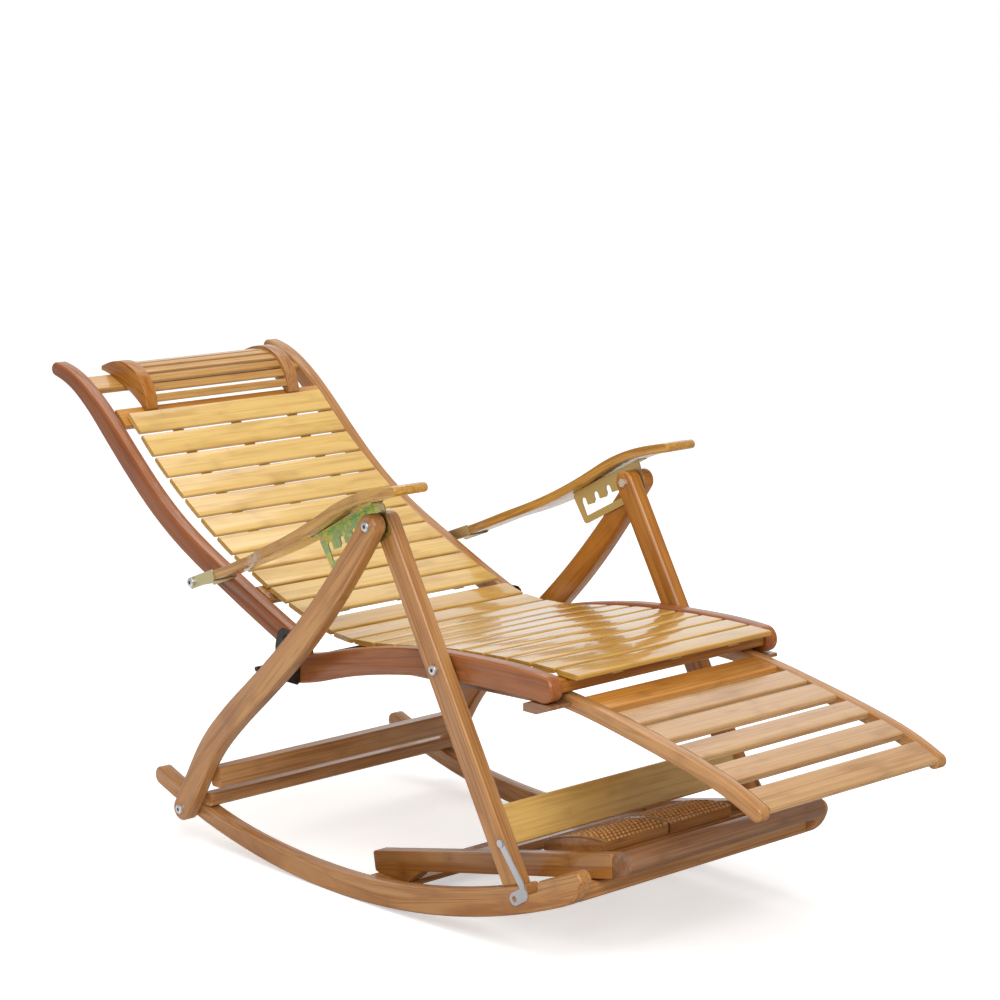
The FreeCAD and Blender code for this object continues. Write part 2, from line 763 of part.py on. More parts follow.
def foot_cross(name, y, breadth, lift, thick):
    at, along = foot_place(y)
    normal = vector(along.y, -along.x, 0)
    centre = at.add(normal * lift)
    body = new_body(name)
    corners = tilted_box((centre.x, centre.y), (along.x, along.y), breadth, thick)
    wide_pad(body, name + "_lath", bevelled_loop(corners, 2.0), "dims.foot_rail_inner")
    return finish(body, name)


foot_cross("footrest_bar_seat_end", -476.0, 52.0, 4.0, 12.0)
for index, (y, breadth) in enumerate(FOOT_SLATS):
    foot_cross("footrest_slat_%d" % (index + 1), y, breadth, 5.0, 11.0)

# armrests
arm_line = [(328.8, 467.8), (255.0, 494.0), (205.0, 515.0), (155.0, 535.0), (107.0, 555.0), (57.0, 579.0),
            (10.0, 604.0), (-37.0, 632.0), (-85.0, 656.0), (-125.0, 670.0), (-184.7, 683.8)]
ARM_SHOULDER_REAR = 215.0
ARM_SHOULDER_FRONT = 120.0
arm_half = size("arm_thick") / 2.0
for side_name, side in SIDES:
    body = new_body("armrest_" + side_name)
    board = pad(body, "arm_board_" + side_name, band(arm_line, [2 * arm_half] * 2, count=5), side,
                "dims.arm_inner", "dims.arm_width")
    # Plan outline: the outer side is cut away along the neck and swings out over a shoulder.
    sketch = body.newObject("Sketcher::SketchObject", "arm_plan_" + side_name)
    sketch.AttachmentSupport = (plane_of(body, "XY_Plane"), [""])
    sketch.MapMode = "FlatFace"
    inner = size("arm_inner")
    neck = inner + size("arm_neck_width")
    outer = inner + size("arm_width")
    far = outer + 20.0
    behind = arm_line[0][0] + 41.2
    neck_rear = vector(side * neck, behind, 0)
    neck_front = vector(side * neck, ARM_SHOULDER_REAR, 0)
    wide_rear = vector(side * outer, ARM_SHOULDER_FRONT, 0)
    far_front = vector(side * far, ARM_SHOULDER_FRONT, 0)
    far_rear = vector(side * far, behind, 0)
    swing = Part.BezierCurve()
    swing.setPoles([neck_front, vector(side * neck, ARM_SHOULDER_REAR - 50.0, 0),
                    vector(side * (outer - 2.0), ARM_SHOULDER_FRONT + 50.0, 0), wide_rear])
    sketch.addGeometry(Part.LineSegment(neck_rear, neck_front), False)
    sketch.addGeometry(swing.toBSpline(), False)
    sketch.addGeometry(Part.LineSegment(wide_rear, far_front), False)
    sketch.addGeometry(Part.LineSegment(far_front, far_rear), False)
    sketch.addGeometry(Part.LineSegment(far_rear, neck_rear), False)
    trim = body.newObject("PartDesign::Pocket", "arm_neck_cut_" + side_name)
    trim.Profile = sketch
    trim.Type = 1
    trim.Midplane = True
    doc.recompute()
    finish(body, "armrest_" + side_name)

# slotted plates under the armrests
arm_underside = curve_through(offset_points(arm_line, [arm_half, arm_half], 14))


def under_arm(y):
    return spline_at(arm_underside, y)


# The flange touches the bent armrest near its two ends and leaves a gap under the middle.
FLANGE_THICK = 2.0
FLANGE_GAP = 0.5
PLATE_WAY = under_arm(-116.0).sub(under_arm(28.0))
PLATE_WAY.normalize()
PLATE_UP = vector(PLATE_WAY.y, -PLATE_WAY.x, 0)
NOTCH_PITCH = 32.0
NOTCH_COUNT = 5
PIN_ALONG = 16.0 + NOTCH_PITCH * (NOTCH_COUNT - 1)
flange_bend = under_arm(28.0).sub(PLATE_UP * (FLANGE_GAP + FLANGE_THICK))
PIN_DROP = flange_bend.sub(flat(TOP_PIVOT)).dot(PLATE_UP)
plate_origin = flat(TOP_PIVOT).sub(PLATE_WAY * PIN_ALONG).add(PLATE_UP * PIN_DROP)


def plate_point(along, down):
    """Point of a slotted plate: along it from the rear end, down from the bend of its flange."""
    p = plate_origin.add(PLATE_WAY * along).sub(PLATE_UP * down)
    return (p.x, p.y)


def slot_outline():
    """Channel with five round-topped notches that rise from it."""
    half = 5.4
    top = 13.5
    tooth = 30.0
    low = 44.0
    shapes = []
    start = plate_point(16.0 - half, low)
    here = start
    for i in range(NOTCH_COUNT):
        middle = 16.0 + NOTCH_PITCH * i
        roof = top if i < NOTCH_COUNT - 1 else PIN_DROP - half
        left = plate_point(middle - half, roof + half)
        right = plate_point(middle + half, roof + half)
        shapes.append(Part.LineSegment(flat(here), flat(left)))
        shapes.append(Part.Arc(flat(left), flat(plate_point(middle, roof)), flat(right)))
        here = right
        if i < NOTCH_COUNT - 1:
            lip = plate_point(middle + half, tooth - 2.0)
            shapes.append(Part.LineSegment(flat(here), flat(lip)))
            toe = plate_point(middle + NOTCH_PITCH - half - 5.0, tooth)
            shapes.append(Part.LineSegment(flat(lip), flat(toe)))
            heel = plate_point(middle + NOTCH_PITCH - half, tooth - 5.0)
            shapes.append(Part.LineSegment(flat(toe), flat(heel)))
            here = heel
    floor_front = plate_point(PIN_ALONG + half, low)
    shapes.append(Part.LineSegment(flat(here), flat(floor_front)))
    shapes.append(Part.LineSegment(flat(floor_front), flat(start)))
    return shapes


FLANGE_REACH = 22.0
PLATE_END = PIN_ALONG + 24.0
for side_name, side in SIDES:
    body = new_body("slot_plate_" + side_name)
    corners = [plate_point(-6.0, 0.0), plate_point(1.0, 56.0), plate_point(PIN_ALONG - 44.0, 56.0),
               plate_point(PLATE_END - 6.0, 50.0), plate_point(PLATE_END, 0.0)]
    pad(body, "slot_sheet_" + side_name, rounded_loop(corners, 7.0), side, "dims.slot_plate_inner",
        "dims.sheet_metal")
    cut_through(body, "slot_" + side_name, slot_outline())
    flange = [plate_point(-4.0, 0.0), plate_point(PLATE_END - 2.0, 0.0),
              plate_point(PLATE_END - 2.0, -FLANGE_THICK), plate_point(-4.0, -FLANGE_THICK)]
    pad(body, "slot_flange_" + side_name, loop_of(flange), side, "dims.slot_plate_inner", str(FLANGE_REACH))
    web = [plate_point(4.0, -0.5), plate_point(PLATE_END - 10.0, -0.5), plate_point(PLATE_END - 10.0, 9.0),
           plate_point(4.0, 9.0)]
    pad(body, "slot_web_" + side_name, loop_of(web), side, "dims.slot_plate_inner", "dims.sheet_metal")
    finish(body, "slot_plate_" + side_name)

# arm brackets, whose ears stand round the pivot of the armrest
EAR_CORNERS = ((10.5, 5.0), (3.0, -12.5), (-61.0, 12.0), (-55.0, 30.0))
SADDLE_GAP = 0.6
for side_name, side in SIDES:
    body = new_body("arm_bracket_" + side_name)
    ear = bevelled_loop([(ARM_PIVOT[0] + y, ARM_PIVOT[1] + z) for y, z in EAR_CORNERS], 3.0)
    outer_face = "dims.arm_inner + dims.arm_neck_width + dims.bracket_gap"
    pad(body, "arm_ear_outer_" + side_name, ear, side, outer_face, "dims.sheet_metal")
    inner_face = "dims.arm_inner - dims.sheet_metal - dims.bracket_gap"
    pad(body, "arm_ear_inner_" + side_name, ear, side, inner_face, "dims.sheet_metal")
    seat_at = under_arm(328.0)
    seat_to = under_arm(290.0)
    drop = vector(0, -SADDLE_GAP, 0)
    fold = vector(0, -size("sheet_metal"), 0)
    strap_end = seat_at.add(seat_at.sub(seat_to) * 0.35)
    low_line = [(p.x, p.y) for p in (strap_end.add(drop), seat_to.add(drop), seat_to.add(drop).add(fold),
                                     strap_end.add(drop).add(fold))]
    pad(body, "arm_saddle_" + side_name, loop_of(low_line), side, inner_face,
        "dims.arm_neck_width + 2 * (dims.sheet_metal + dims.bracket_gap)")
    cut_through(body, "arm_bracket_bore_" + side_name, circle_at(ARM_PIVOT, bore_radius))
    finish(body, "arm_bracket_" + side_name)

# hinge brackets of seat and back, whose cheeks reach round the rod below and the back's pivot above
HINGE_REAR = SEAT_ROD[0] + 13.0
HINGE_FRONT = BACK_PIVOT[0] - 31.0
HINGE_LOW = SEAT_ROD[1] - 27.1
HINGE_TOP = BACK_PIVOT[1] + 17.0
cheek = bevelled_loop([(HINGE_REAR, HINGE_LOW), (HINGE_FRONT, HINGE_LOW), (HINGE_FRONT, HINGE_TOP - 31.0),
                      (BACK_PIVOT[0] - 18.0, HINGE_TOP), (BACK_PIVOT[0] + 18.0, HINGE_TOP),
                      (HINGE_REAR, HINGE_TOP - 27.0)], 5.0)
web_front = HINGE_REAR - size("sheet_metal")
web_low = HINGE_LOW + 6.0
web_top = HINGE_LOW + 46.0
hinge_web = loop_of([(HINGE_REAR, web_low), (HINGE_REAR, web_top), (web_front, web_top), (web_front, web_low)])
cheek_inner = "dims.rail_inner - dims.cheek_gap - dims.sheet_metal"
cheek_outer = "dims.rail_inner + dims.rail_thick + dims.cheek_gap"
for side_name, side in SIDES:
    body = new_body("hinge_bracket_" + side_name)
    pad(body, "hinge_cheek_inner_" + side_name, cheek, side, cheek_inner, "dims.sheet_metal")
    pad(body, "hinge_cheek_outer_" + side_name, cheek, side, cheek_outer, "dims.sheet_metal")
    pad(body, "hinge_web_" + side_name, hinge_web, side, cheek_inner,
        "dims.rail_thick + 2 * (dims.cheek_gap + dims.sheet_metal)")
    cut_through(body, "hinge_rod_bore_" + side_name, circle_at(SEAT_ROD, bore_radius))
    cut_through(body, "hinge_screw_bore_" + side_name, circle_at(BACK_PIVOT, bore_radius))
    finish(body, "hinge_bracket_" + side_name)

# latches on the front legs
LATCH_KNEE = (-416.0, 117.0)
LATCH_BEND = (-419.0, 104.0)
LATCH_EYE = (-401.0, 93.0)
LATCH_GAP = 0.3
LATCH_HOLE = 4.6
latch_screw_radius = 3.0
for side_name, side in SIDES:
    body = new_body("latch_" + side_name)
    face = "dims.leg_inner + dims.leg_thick + %.1f" % LATCH_GAP
    strap = straight_band(LATCH_SCREW, LATCH_KNEE, 12.0)
    pad(body, "latch_strap_" + side_name, strap, side, face, "dims.sheet_metal")
    eye = straight_band(LATCH_BEND, LATCH_EYE, 20.0)
    pad(body, "latch_eye_" + side_name, eye, side, face, "dims.sheet_metal")
    cut_through(body, "latch_hole_" + side_name, circle_at(LATCH_EYE, LATCH_HOLE))
    cut_through(body, "latch_bore_" + side_name, circle_at(LATCH_SCREW, latch_screw_radius + size("pin_play")))
    finish(body, "latch_" + side_name)

# rods, bolts and screws
rail_face = size("rail_inner")
rail_out = rail_face + size("rail_thick")
leg_face = size("leg_inner")
leg_out = leg_face + size("leg_thick")
rear_face = size("rear_leg_inner")
rear_out = rear_face + size("leg_thick")
metal = size("sheet_metal")
cheek_gap = size("cheek_gap")
bracket_gap = size("bracket_gap")
PIN_END_GAP = 0.3
ROD_INSET = 4.5
HEAD = 3.0
NUT = 4.0
NUT_RADIUS = 7.5
HEAD_RADIUS = 8.0


def turned(side, centre, steps):
    """Round part along X made of steps (radius, near, far) measured from the middle plane."""
    whole = None
    for radius, near, far in steps:
        low, high = on_side(side, near, far)
        piece = rod(centre, radius, low, high)
        whole = piece if whole is None else whole.fuse(piece)
    return whole.removeSplitter()


def with_nut(bolt, side, centre, near, far):
    """Bolt with a hexagonal nut on its end towards the middle plane."""
    low, high = on_side(side, near, far)
    corners = []
    for i in range(7):
        turn = math.radians(60.0 * i)
        corners.append(vector(low, centre[0] + NUT_RADIUS * math.cos(turn), centre[1] + NUT_RADIUS * math.sin(turn)))
    nut = Part.Face(Part.makePolygon(corners)).extrude(vector(high - low, 0, 0))
    return bolt.fuse(nut).removeSplitter()


def through_bolt(side, centre, inner_face, outer_face):
    """Bolt with a flat round head outside and a nut inside the boards that it passes."""
    bolt = turned(side, centre, [(pin_radius, inner_face - NUT, outer_face + HEAD),
                                 (HEAD_RADIUS, outer_face, outer_face + HEAD)])
    return with_nut(bolt, side, centre, inner_face - NUT, inner_face)


rod_end = rear_out - ROD_INSET
group("seat_rod", [rod(SEAT_ROD, pin_radius, -rod_end, rod_end)])
group("base_bolts", [through_bolt(side, ROCKER_PIVOT, leg_face, rear_out) for _, side in SIDES])
group("seat_bolts", [through_bolt(side, SEAT_PIVOT, rail_face, leg_out) for _, side in SIDES])
cheek_in = rail_face - cheek_gap - metal
cheek_out = rail_out + cheek_gap + metal
group("back_screws", [through_bolt(side, BACK_PIVOT, cheek_in, cheek_out) for _, side in SIDES])
ear_out = size("arm_inner") + size("arm_neck_width") + bracket_gap + metal
group("arm_bolts", [through_bolt(side, ARM_PIVOT, rail_face, ear_out + bracket_gap) for _, side in SIDES])
plate_face = size("slot_plate_inner")
front_pins = []
rear_pins = []
for _, side in SIDES:
    stub = turned(side, TOP_PIVOT, [(pin_radius, leg_face - NUT, plate_face - PIN_END_GAP)])
    front_pins.append(with_nut(stub, side, TOP_PIVOT, leg_face - NUT, leg_face))
    strap_out = leg_out + LATCH_GAP + metal
    front_pins.append(turned(side, LATCH_SCREW, [(latch_screw_radius, leg_out + 0.05, strap_out + 2.2),
                                                 (2 * latch_screw_radius, strap_out + 0.2, strap_out + 2.2)]))
    rear_pins.append(turned(side, TOP_PIVOT, [(pin_radius, plate_face + metal + PIN_END_GAP, rear_out + HEAD),
                                              (HEAD_RADIUS, rear_out, rear_out + HEAD)]))
group("front_leg_pins", front_pins)
group("rear_leg_pins", rear_pins)
foot_out = size("foot_rail_inner") + size("foot_rail_thick")
group("footrest_pegs", [turned(side, peg, [(peg_radius, foot_out + 0.05, rail_face - 0.5)])
                        for _, side in SIDES for peg in (PEG_FRONT, PEG_REAR)])

# final shapes
doc.recompute()
problems = []
for item in doc.Objects:
    state = [str(s) for s in item.State]
    if "Invalid" in state or "Error" in state:
        problems.append(item.Name)
if problems:
    raise ValueError("features with errors: " + ", ".join(problems))

os.makedirs("parts", exist_ok=True)
for name, item in nodes:
    shape = item.Shape
    if shape.isNull() or not shape.isValid() or shape.Volume <= 0:
        raise ValueError("bad shape in " + name)
    shape.exportStep("parts/" + name + ".step")
print("nodes written:", len(nodes))
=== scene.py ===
import math
import random

import bmesh
import bpy
import numpy as np
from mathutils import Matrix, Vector


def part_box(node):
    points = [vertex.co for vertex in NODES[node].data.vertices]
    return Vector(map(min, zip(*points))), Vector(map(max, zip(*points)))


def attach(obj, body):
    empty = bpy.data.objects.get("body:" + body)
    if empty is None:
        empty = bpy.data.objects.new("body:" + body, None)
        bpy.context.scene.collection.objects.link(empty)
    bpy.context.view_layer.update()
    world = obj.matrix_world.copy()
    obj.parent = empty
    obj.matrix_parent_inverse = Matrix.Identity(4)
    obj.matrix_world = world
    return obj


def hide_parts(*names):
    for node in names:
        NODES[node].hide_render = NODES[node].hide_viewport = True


bl_info = {
    "name": "Bamboo folding recliner",
    "version": (1, 0, 0),
    "blender": (4, 5, 0),
    "location": "View3D > Sidebar > Recliner",
    "description": "Dresses the packed model of a bamboo rocking recliner with lacquered boards, laths, "
                   "webbing and metal",
    "category": "Object",
}

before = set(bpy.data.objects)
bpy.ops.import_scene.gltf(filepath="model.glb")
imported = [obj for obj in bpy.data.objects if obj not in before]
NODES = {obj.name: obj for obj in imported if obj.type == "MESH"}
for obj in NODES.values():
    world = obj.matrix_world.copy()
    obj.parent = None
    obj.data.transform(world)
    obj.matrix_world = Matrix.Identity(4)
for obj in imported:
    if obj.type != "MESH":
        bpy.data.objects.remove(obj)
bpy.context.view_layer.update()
SIDES = ("right", "left")

# Lengths are in metres and angles in degrees, but the width of the camera's sensor is in millimetres.
MERGE_DISTANCE = 2e-6
FLAT_ANGLE = 0.15
BOARD_EDGE_ANGLE = 28.0
ARM_EDGE_FACTOR = 1.6
LATH_EDGE = 0.0006
LATH_EDGE_ANGLE = 60.0

# Straps: their places across the chair, the step of their mesh, the way from the underside of a lath to
# the middle of a strap, and the distance of a strap's bend from the edge of a lath.
STRAP_PLACES = (-0.127, 0.0, 0.127)
STRAP_WIDTH = 0.022
STRAP_THICKNESS = 0.0016
STRAP_STEP = 0.006
STRAP_DROP = 0.0012
STRAP_INSET = 0.002

# Massage pads: how near to an end its height is read, the bare margins around the beads, the height of their
# arch, their lift above the wood and the seed of their shades, then the pale rims at both ends of the rows.
PAD_END = 0.001
PAD_MARGIN_ALONG = 0.009
PAD_MARGIN_ACROSS = 0.010
BEAD_ARCH = 0.0079
BEAD_LIFT = 0.0012
BEAD_SEED = 7
# The rims' pale tone partly paints the highlight that runs along the arched ends of a pad.
RIM_INSET = 0.0022
RIM_ARCH = 0.0088
RIM_SHARE = 0.985
RIM_WIDTH = 0.0040
RIM_THICKNESS = 0.0030
RIM_STEPS = 16

# Bolt heads: how near to the bolt's end its middle is read, the corners of a head, how deep it sits on the
# bolt, its rings as share of its radius and height, its socket's walls, and the dark prism of painted shade
# in it.
BOLT_END = 1e-5
CAP_STEPS = 24
CAP_SEAT = 0.0001
CAP_RINGS = ((0.98, 0.0), (1.0, 0.0005), (0.90, 0.0014), (0.66, 0.0019))
SOCKET_SHARE = 0.46
SOCKET_HEIGHTS = (0.0020, 0.0004)
SOCKET_SHADE_SHARE = 0.41
SOCKET_SHADE_HEIGHTS = (0.0005, 0.0011)

# Grain: how many times a metre the fibres, streaks and clouds change along, across and through a board, and
# the stains that they and the rings lay over its tone. The turns of a strap's threads are in radians a metre.
FIBRE_TURNS = (9.0, 1150.0, 1150.0)
STREAK_TURNS = (3.2, 210.0, 210.0)
CLOUD_TURNS = (7.0, 26.0, 26.0)
DEEP_STAIN = (0.62, 0.50, 0.36, 1.0)
DARK_STAIN = (0.42, 0.34, 0.30, 1.0)
PALE_STAIN = (1.0, 0.76, 0.36, 1.0)
WARP_TURNS = 4200.0
WEFT_TURNS = 3600.0

CAMERA_PLACE = (-3.013, -3.293, 1.426)
CAMERA_WAY = (0.6719, 0.7183, -0.1807)
SENSOR_WIDTH = 36.0
FLOOR_REACH = 14.0
WHITE = (1.0, 1.0, 1.0, 1.0)

# Middle lines of the bent boards as (Y, Z). The grain of each board follows its line.
BACK_RUN = [(0.164, 0.386), (0.260, 0.426), (0.352, 0.467), (0.447, 0.5125), (0.530, 0.566),
            (0.600, 0.624), (0.672, 0.688), (0.728, 0.732), (0.780, 0.756), (0.806, 0.7625)]
SEAT_RUN = [(0.166, 0.338), (0.100, 0.350), (0.006, 0.375), (-0.090, 0.395), (-0.161, 0.4055),
            (-0.274, 0.412), (-0.361, 0.414), (-0.427, 0.4115)]
REAR_LEG_RUN = [(-0.102, 0.617), (-0.029, 0.521), (0.087, 0.393), (0.166, 0.321), (0.247, 0.250),
                (0.313, 0.182), (0.352, 0.122), (0.387, 0.065)]
FRONT_LEG_RUN = [(-0.102, 0.617), (-0.386, 0.118)]
ROCKER_RUN = [(0.480, 0.095), (0.290, 0.040), (0.110, 0.021), (-0.068, 0.023), (-0.225, 0.045),
              (-0.394, 0.088), (-0.517, 0.138)]
FOOT_RUN = [(-0.222, 0.385), (-0.300, 0.389), (-0.400, 0.3915), (-0.440, 0.3875), (-0.506, 0.3775),
            (-0.588, 0.3615), (-0.667, 0.3445), (-0.744, 0.3235), (-0.808, 0.2975)]
ARM_RUN = [(0.334, 0.466), (0.255, 0.494), (0.205, 0.515), (0.155, 0.535), (0.107, 0.555), (0.057, 0.579),
           (0.010, 0.604), (-0.037, 0.632), (-0.085, 0.656), (-0.125, 0.670), (-0.190, 0.685)]
MASSAGE_RUN = [(-0.004, 0.045), (-0.541, 0.162)]
HEAD_RUN = [(0.770, 0.762), (0.720, 0.755), (0.680, 0.740), (0.650, 0.710)]
RUNNER_RUN = [(-0.400, 0.3915), (-0.036, 0.378)]

COLOUR = {"subtype": "COLOR", "size": 3, "min": 0.0, "max": 1.0}


class ChairSizes(bpy.types.PropertyGroup):
    edge_soft: bpy.props.FloatProperty(
        name="Edge softness", description="Rounding of the edges of the boards", default=0.0008, min=0.0002,
        max=0.003, unit="LENGTH")
    lath_round: bpy.props.FloatProperty(
        name="Lath rounding", description="Radius of the long edges of the laths", default=0.0026, min=0.0005,
        max=0.004, unit="LENGTH")
    lath_crown: bpy.props.FloatProperty(
        name="Lath crown", description="Height that the middle of a lath rises above its edges",
        default=0.0006, min=0.0, max=0.002, unit="LENGTH")
    bead_radius: bpy.props.FloatProperty(
        name="Bead radius", description="Radius of the massage beads", default=0.0031, min=0.001, max=0.006,
        unit="LENGTH")
    bead_pitch: bpy.props.FloatProperty(
        name="Bead pitch", description="Distance of the beads in a row", default=0.0080, min=0.003, max=0.02,
        unit="LENGTH")
    row_count: bpy.props.IntProperty(
        name="Bead rows", description="Rows of beads on one massage pad", default=11, min=3, max=30)
    cap_radius: bpy.props.FloatProperty(
        name="Screw cap radius", description="Radius of the domed bolt heads", default=0.0078, min=0.003,
        max=0.012, unit="LENGTH")


class ChairColours(bpy.types.PropertyGroup):
    honey: bpy.props.FloatVectorProperty(
        name="Honey", description="Laths of the back", default=(0.76, 0.49, 0.145), **COLOUR)
    gold: bpy.props.FloatVectorProperty(
        name="Gold", description="Laths of the seat, which are the glossiest",
        default=(0.60, 0.33, 0.055), **COLOUR)
    # Wheat on the rims of the massage pads partly paints the highlight along their arched ends.
    wheat: bpy.props.FloatVectorProperty(
        name="Wheat", description="Laths of the footrest and rims of the massage pads",
        default=(0.545, 0.31, 0.136), **COLOUR)
    caramel: bpy.props.FloatVectorProperty(
        name="Caramel", description="Strips of the headrest and top bar of the back",
        default=(0.55, 0.285, 0.07), **COLOUR)
    tan: bpy.props.FloatVectorProperty(
        name="Tan", description="Near legs, rockers, low bars, footrest rails and far boards of the back",
        default=(0.48, 0.22, 0.07), **COLOUR)
    # Ochre on the far legs is darker than the tan of the near legs, in part as painted shade from the seat.
    ochre: bpy.props.FloatVectorProperty(
        name="Ochre", description="Far legs, front bar of the seat and near headrest board",
        default=(0.46, 0.165, 0.012), **COLOUR)
    red: bpy.props.FloatVectorProperty(
        name="Red brown", description="Stained rails of the seat and the near one of the back",
        default=(0.35, 0.098, 0.018), **COLOUR)
    olive: bpy.props.FloatVectorProperty(
        name="Olive", description="Armrests", default=(0.57, 0.29, 0.05), **COLOUR)
    amber: bpy.props.FloatVectorProperty(
        name="Amber", description="Beads of the foot massager", default=(0.72, 0.37, 0.115), **COLOUR)
    umber: bpy.props.FloatVectorProperty(
        name="Umber", description="Boards, planks and pads of the foot massager",
        default=(0.372, 0.144, 0.0264), **COLOUR)
    cocoa: bpy.props.FloatVectorProperty(
        name="Cocoa", description="Front rail of the foot massager and runners of the footrest",
        default=(0.27, 0.12, 0.055), **COLOUR)
    syrup: bpy.props.FloatVectorProperty(
        name="Syrup", description="Cross board of the footrest and neck bar of the back",
        default=(0.60, 0.255, 0.045), **COLOUR)
    # Dusk is raised above the board's own honey tone to make up for the footrest's shadow on it: partly
    # painted light.
    dusk: bpy.props.FloatVectorProperty(
        name="Dusk", description="Cross board between the front legs", default=(0.84, 0.54, 0.155), **COLOUR)
    strap: bpy.props.FloatVectorProperty(
        name="Webbing", description="Straps below the laths", default=(0.20, 0.088, 0.022), **COLOUR)


class StageSettings(bpy.types.PropertyGroup):
    key_power: bpy.props.FloatProperty(
        name="Key lamp", description="Power of the large lamp above the front", default=95.0, min=0.0,
        subtype="POWER", unit="POWER")
    top_power: bpy.props.FloatProperty(
        name="Top lamp", description="Power of the lamp above the back of the chair", default=26.0, min=0.0,
        subtype="POWER", unit="POWER")
    world_light: bpy.props.FloatProperty(
        name="Room light", description="Strength of the even light from all sides", default=0.62,
        min=0.0, max=2.0)
    lens: bpy.props.FloatProperty(
        name="Lens", description="Focal length of the camera on a 36 mm sensor in millimetres", default=100.9,
        min=10.0, max=300.0)


# Nodes and materials


class Wiring:
    """Short calls that add nodes to one tree. A value that is a socket is linked, any other value is set."""

    def __init__(self, tree):
        self.tree = tree

    def add(self, kind, inputs=None, **settings):
        item = self.tree.nodes.new(kind)
        for key, value in settings.items():
            setattr(item, key, value)
        for key, value in (inputs or {}).items():
            self.fill(item.inputs[key], value)
        return item

    def fill(self, socket, value):
        if isinstance(value, bpy.types.NodeSocket):
            self.tree.links.new(value, socket)
        else:
            socket.default_value = value

    def out(self, kind, inputs=None, **settings):
        """The first output of a new node."""
        return self.add(kind, inputs, **settings).outputs[0]

    def math(self, operation, *values):
        return self.out("ShaderNodeMath", dict(enumerate(values)), operation=operation)

    def times(self, value, factor):
        return self.math("MULTIPLY", value, factor)

    def times_plus(self, value, factor, added):
        return self.math("MULTIPLY_ADD", value, factor, added)

    def over(self, value, divisor):
        return self.math("DIVIDE", value, divisor)

    def off_middle(self, value):
        """How far a value is from the middle between two whole numbers."""
        return self.math("ABSOLUTE", self.math("SUBTRACT", self.math("FRACT", value), 0.5))

    def arch(self, place, width):
        """1 in the middle of a width and 0 at its two edges."""
        share = self.over(place, self.times(width, 0.5))
        return self.math("SUBTRACT", 1.0, self.times(share, share))

    def mapped(self, value, low, high, new_low, new_high):
        """Value moved smoothly from one range to another and held at its ends."""
        return self.out("ShaderNodeMapRange", {0: value, 1: low, 2: high, 3: new_low, 4: new_high},
                        interpolation_type="SMOOTHSTEP")

    def joined(self, x=0.0, y=0.0, z=0.0):
        return self.out("ShaderNodeCombineXYZ", {0: x, 1: y, 2: z})

    def parts(self, vector):
        return self.add("ShaderNodeSeparateXYZ", {0: vector}).outputs

    def shifted(self, vector, offset):
        return self.out("ShaderNodeVectorMath", {0: vector, 1: offset}, operation="ADD")

    def stretched(self, parts, scales, offset):
        """Vector with each part scaled, plus an offset, for noise drawn out along the grain."""
        return self.shifted(self.joined(*(self.times(*pair) for pair in zip(parts, scales))), offset)

    def noise(self, vector, scale, detail, rough=0.55):
        return self.out("ShaderNodeTexNoise",
                        {"Vector": vector, "Scale": scale, "Detail": detail, "Roughness": rough})

    def blend(self, factor, first, second, mode="MIX"):
        return self.add("ShaderNodeMix", {0: factor, 6: first, 7: second}, data_type="RGBA",
                        blend_type=mode).outputs[2]

    def relief(self, shader, height, strength, depth):
        """Gives a surface shader a relief of a depth in metres."""
        bump = self.out("ShaderNodeBump", {"Height": height, "Strength": strength, "Distance": depth})
        self.fill(shader["Normal"], bump)

    def position(self):
        return self.out("GeometryNodeInputPosition")

    def carried(self, name):
        """Number that each point carries under a name."""
        outputs = self.add("GeometryNodeInputNamedAttribute", {"Name": name}, data_type="FLOAT").outputs
        return next(socket for socket in outputs if socket.enabled and socket.name == "Attribute")

    def stored(self, geometry, name, value, kind="FLOAT", domain="POINT"):
        """Geometry that carries a value under a name."""
        return self.out("GeometryNodeStoreNamedAttribute",
                        {"Geometry": geometry, "Name": name, "Value": value}, data_type=kind, domain=domain)

    def section(self, width, height, cuts):
        """Outline of a flat bar with each side cut into shorter ones."""
        outline = self.out("GeometryNodeCurvePrimitiveQuadrilateral", {"Width": width, "Height": height})
        return self.out("GeometryNodeSubdivideCurve", {"Curve": outline, "Cuts": cuts})

    def upright(self, line):
        return self.out("GeometryNodeSetCurveNormal", {"Curve": line}, mode="Z_UP")

    def swept(self, line, section):
        return self.out("GeometryNodeCurveToMesh",
                        {"Curve": line, "Profile Curve": section, "Fill Caps": True})


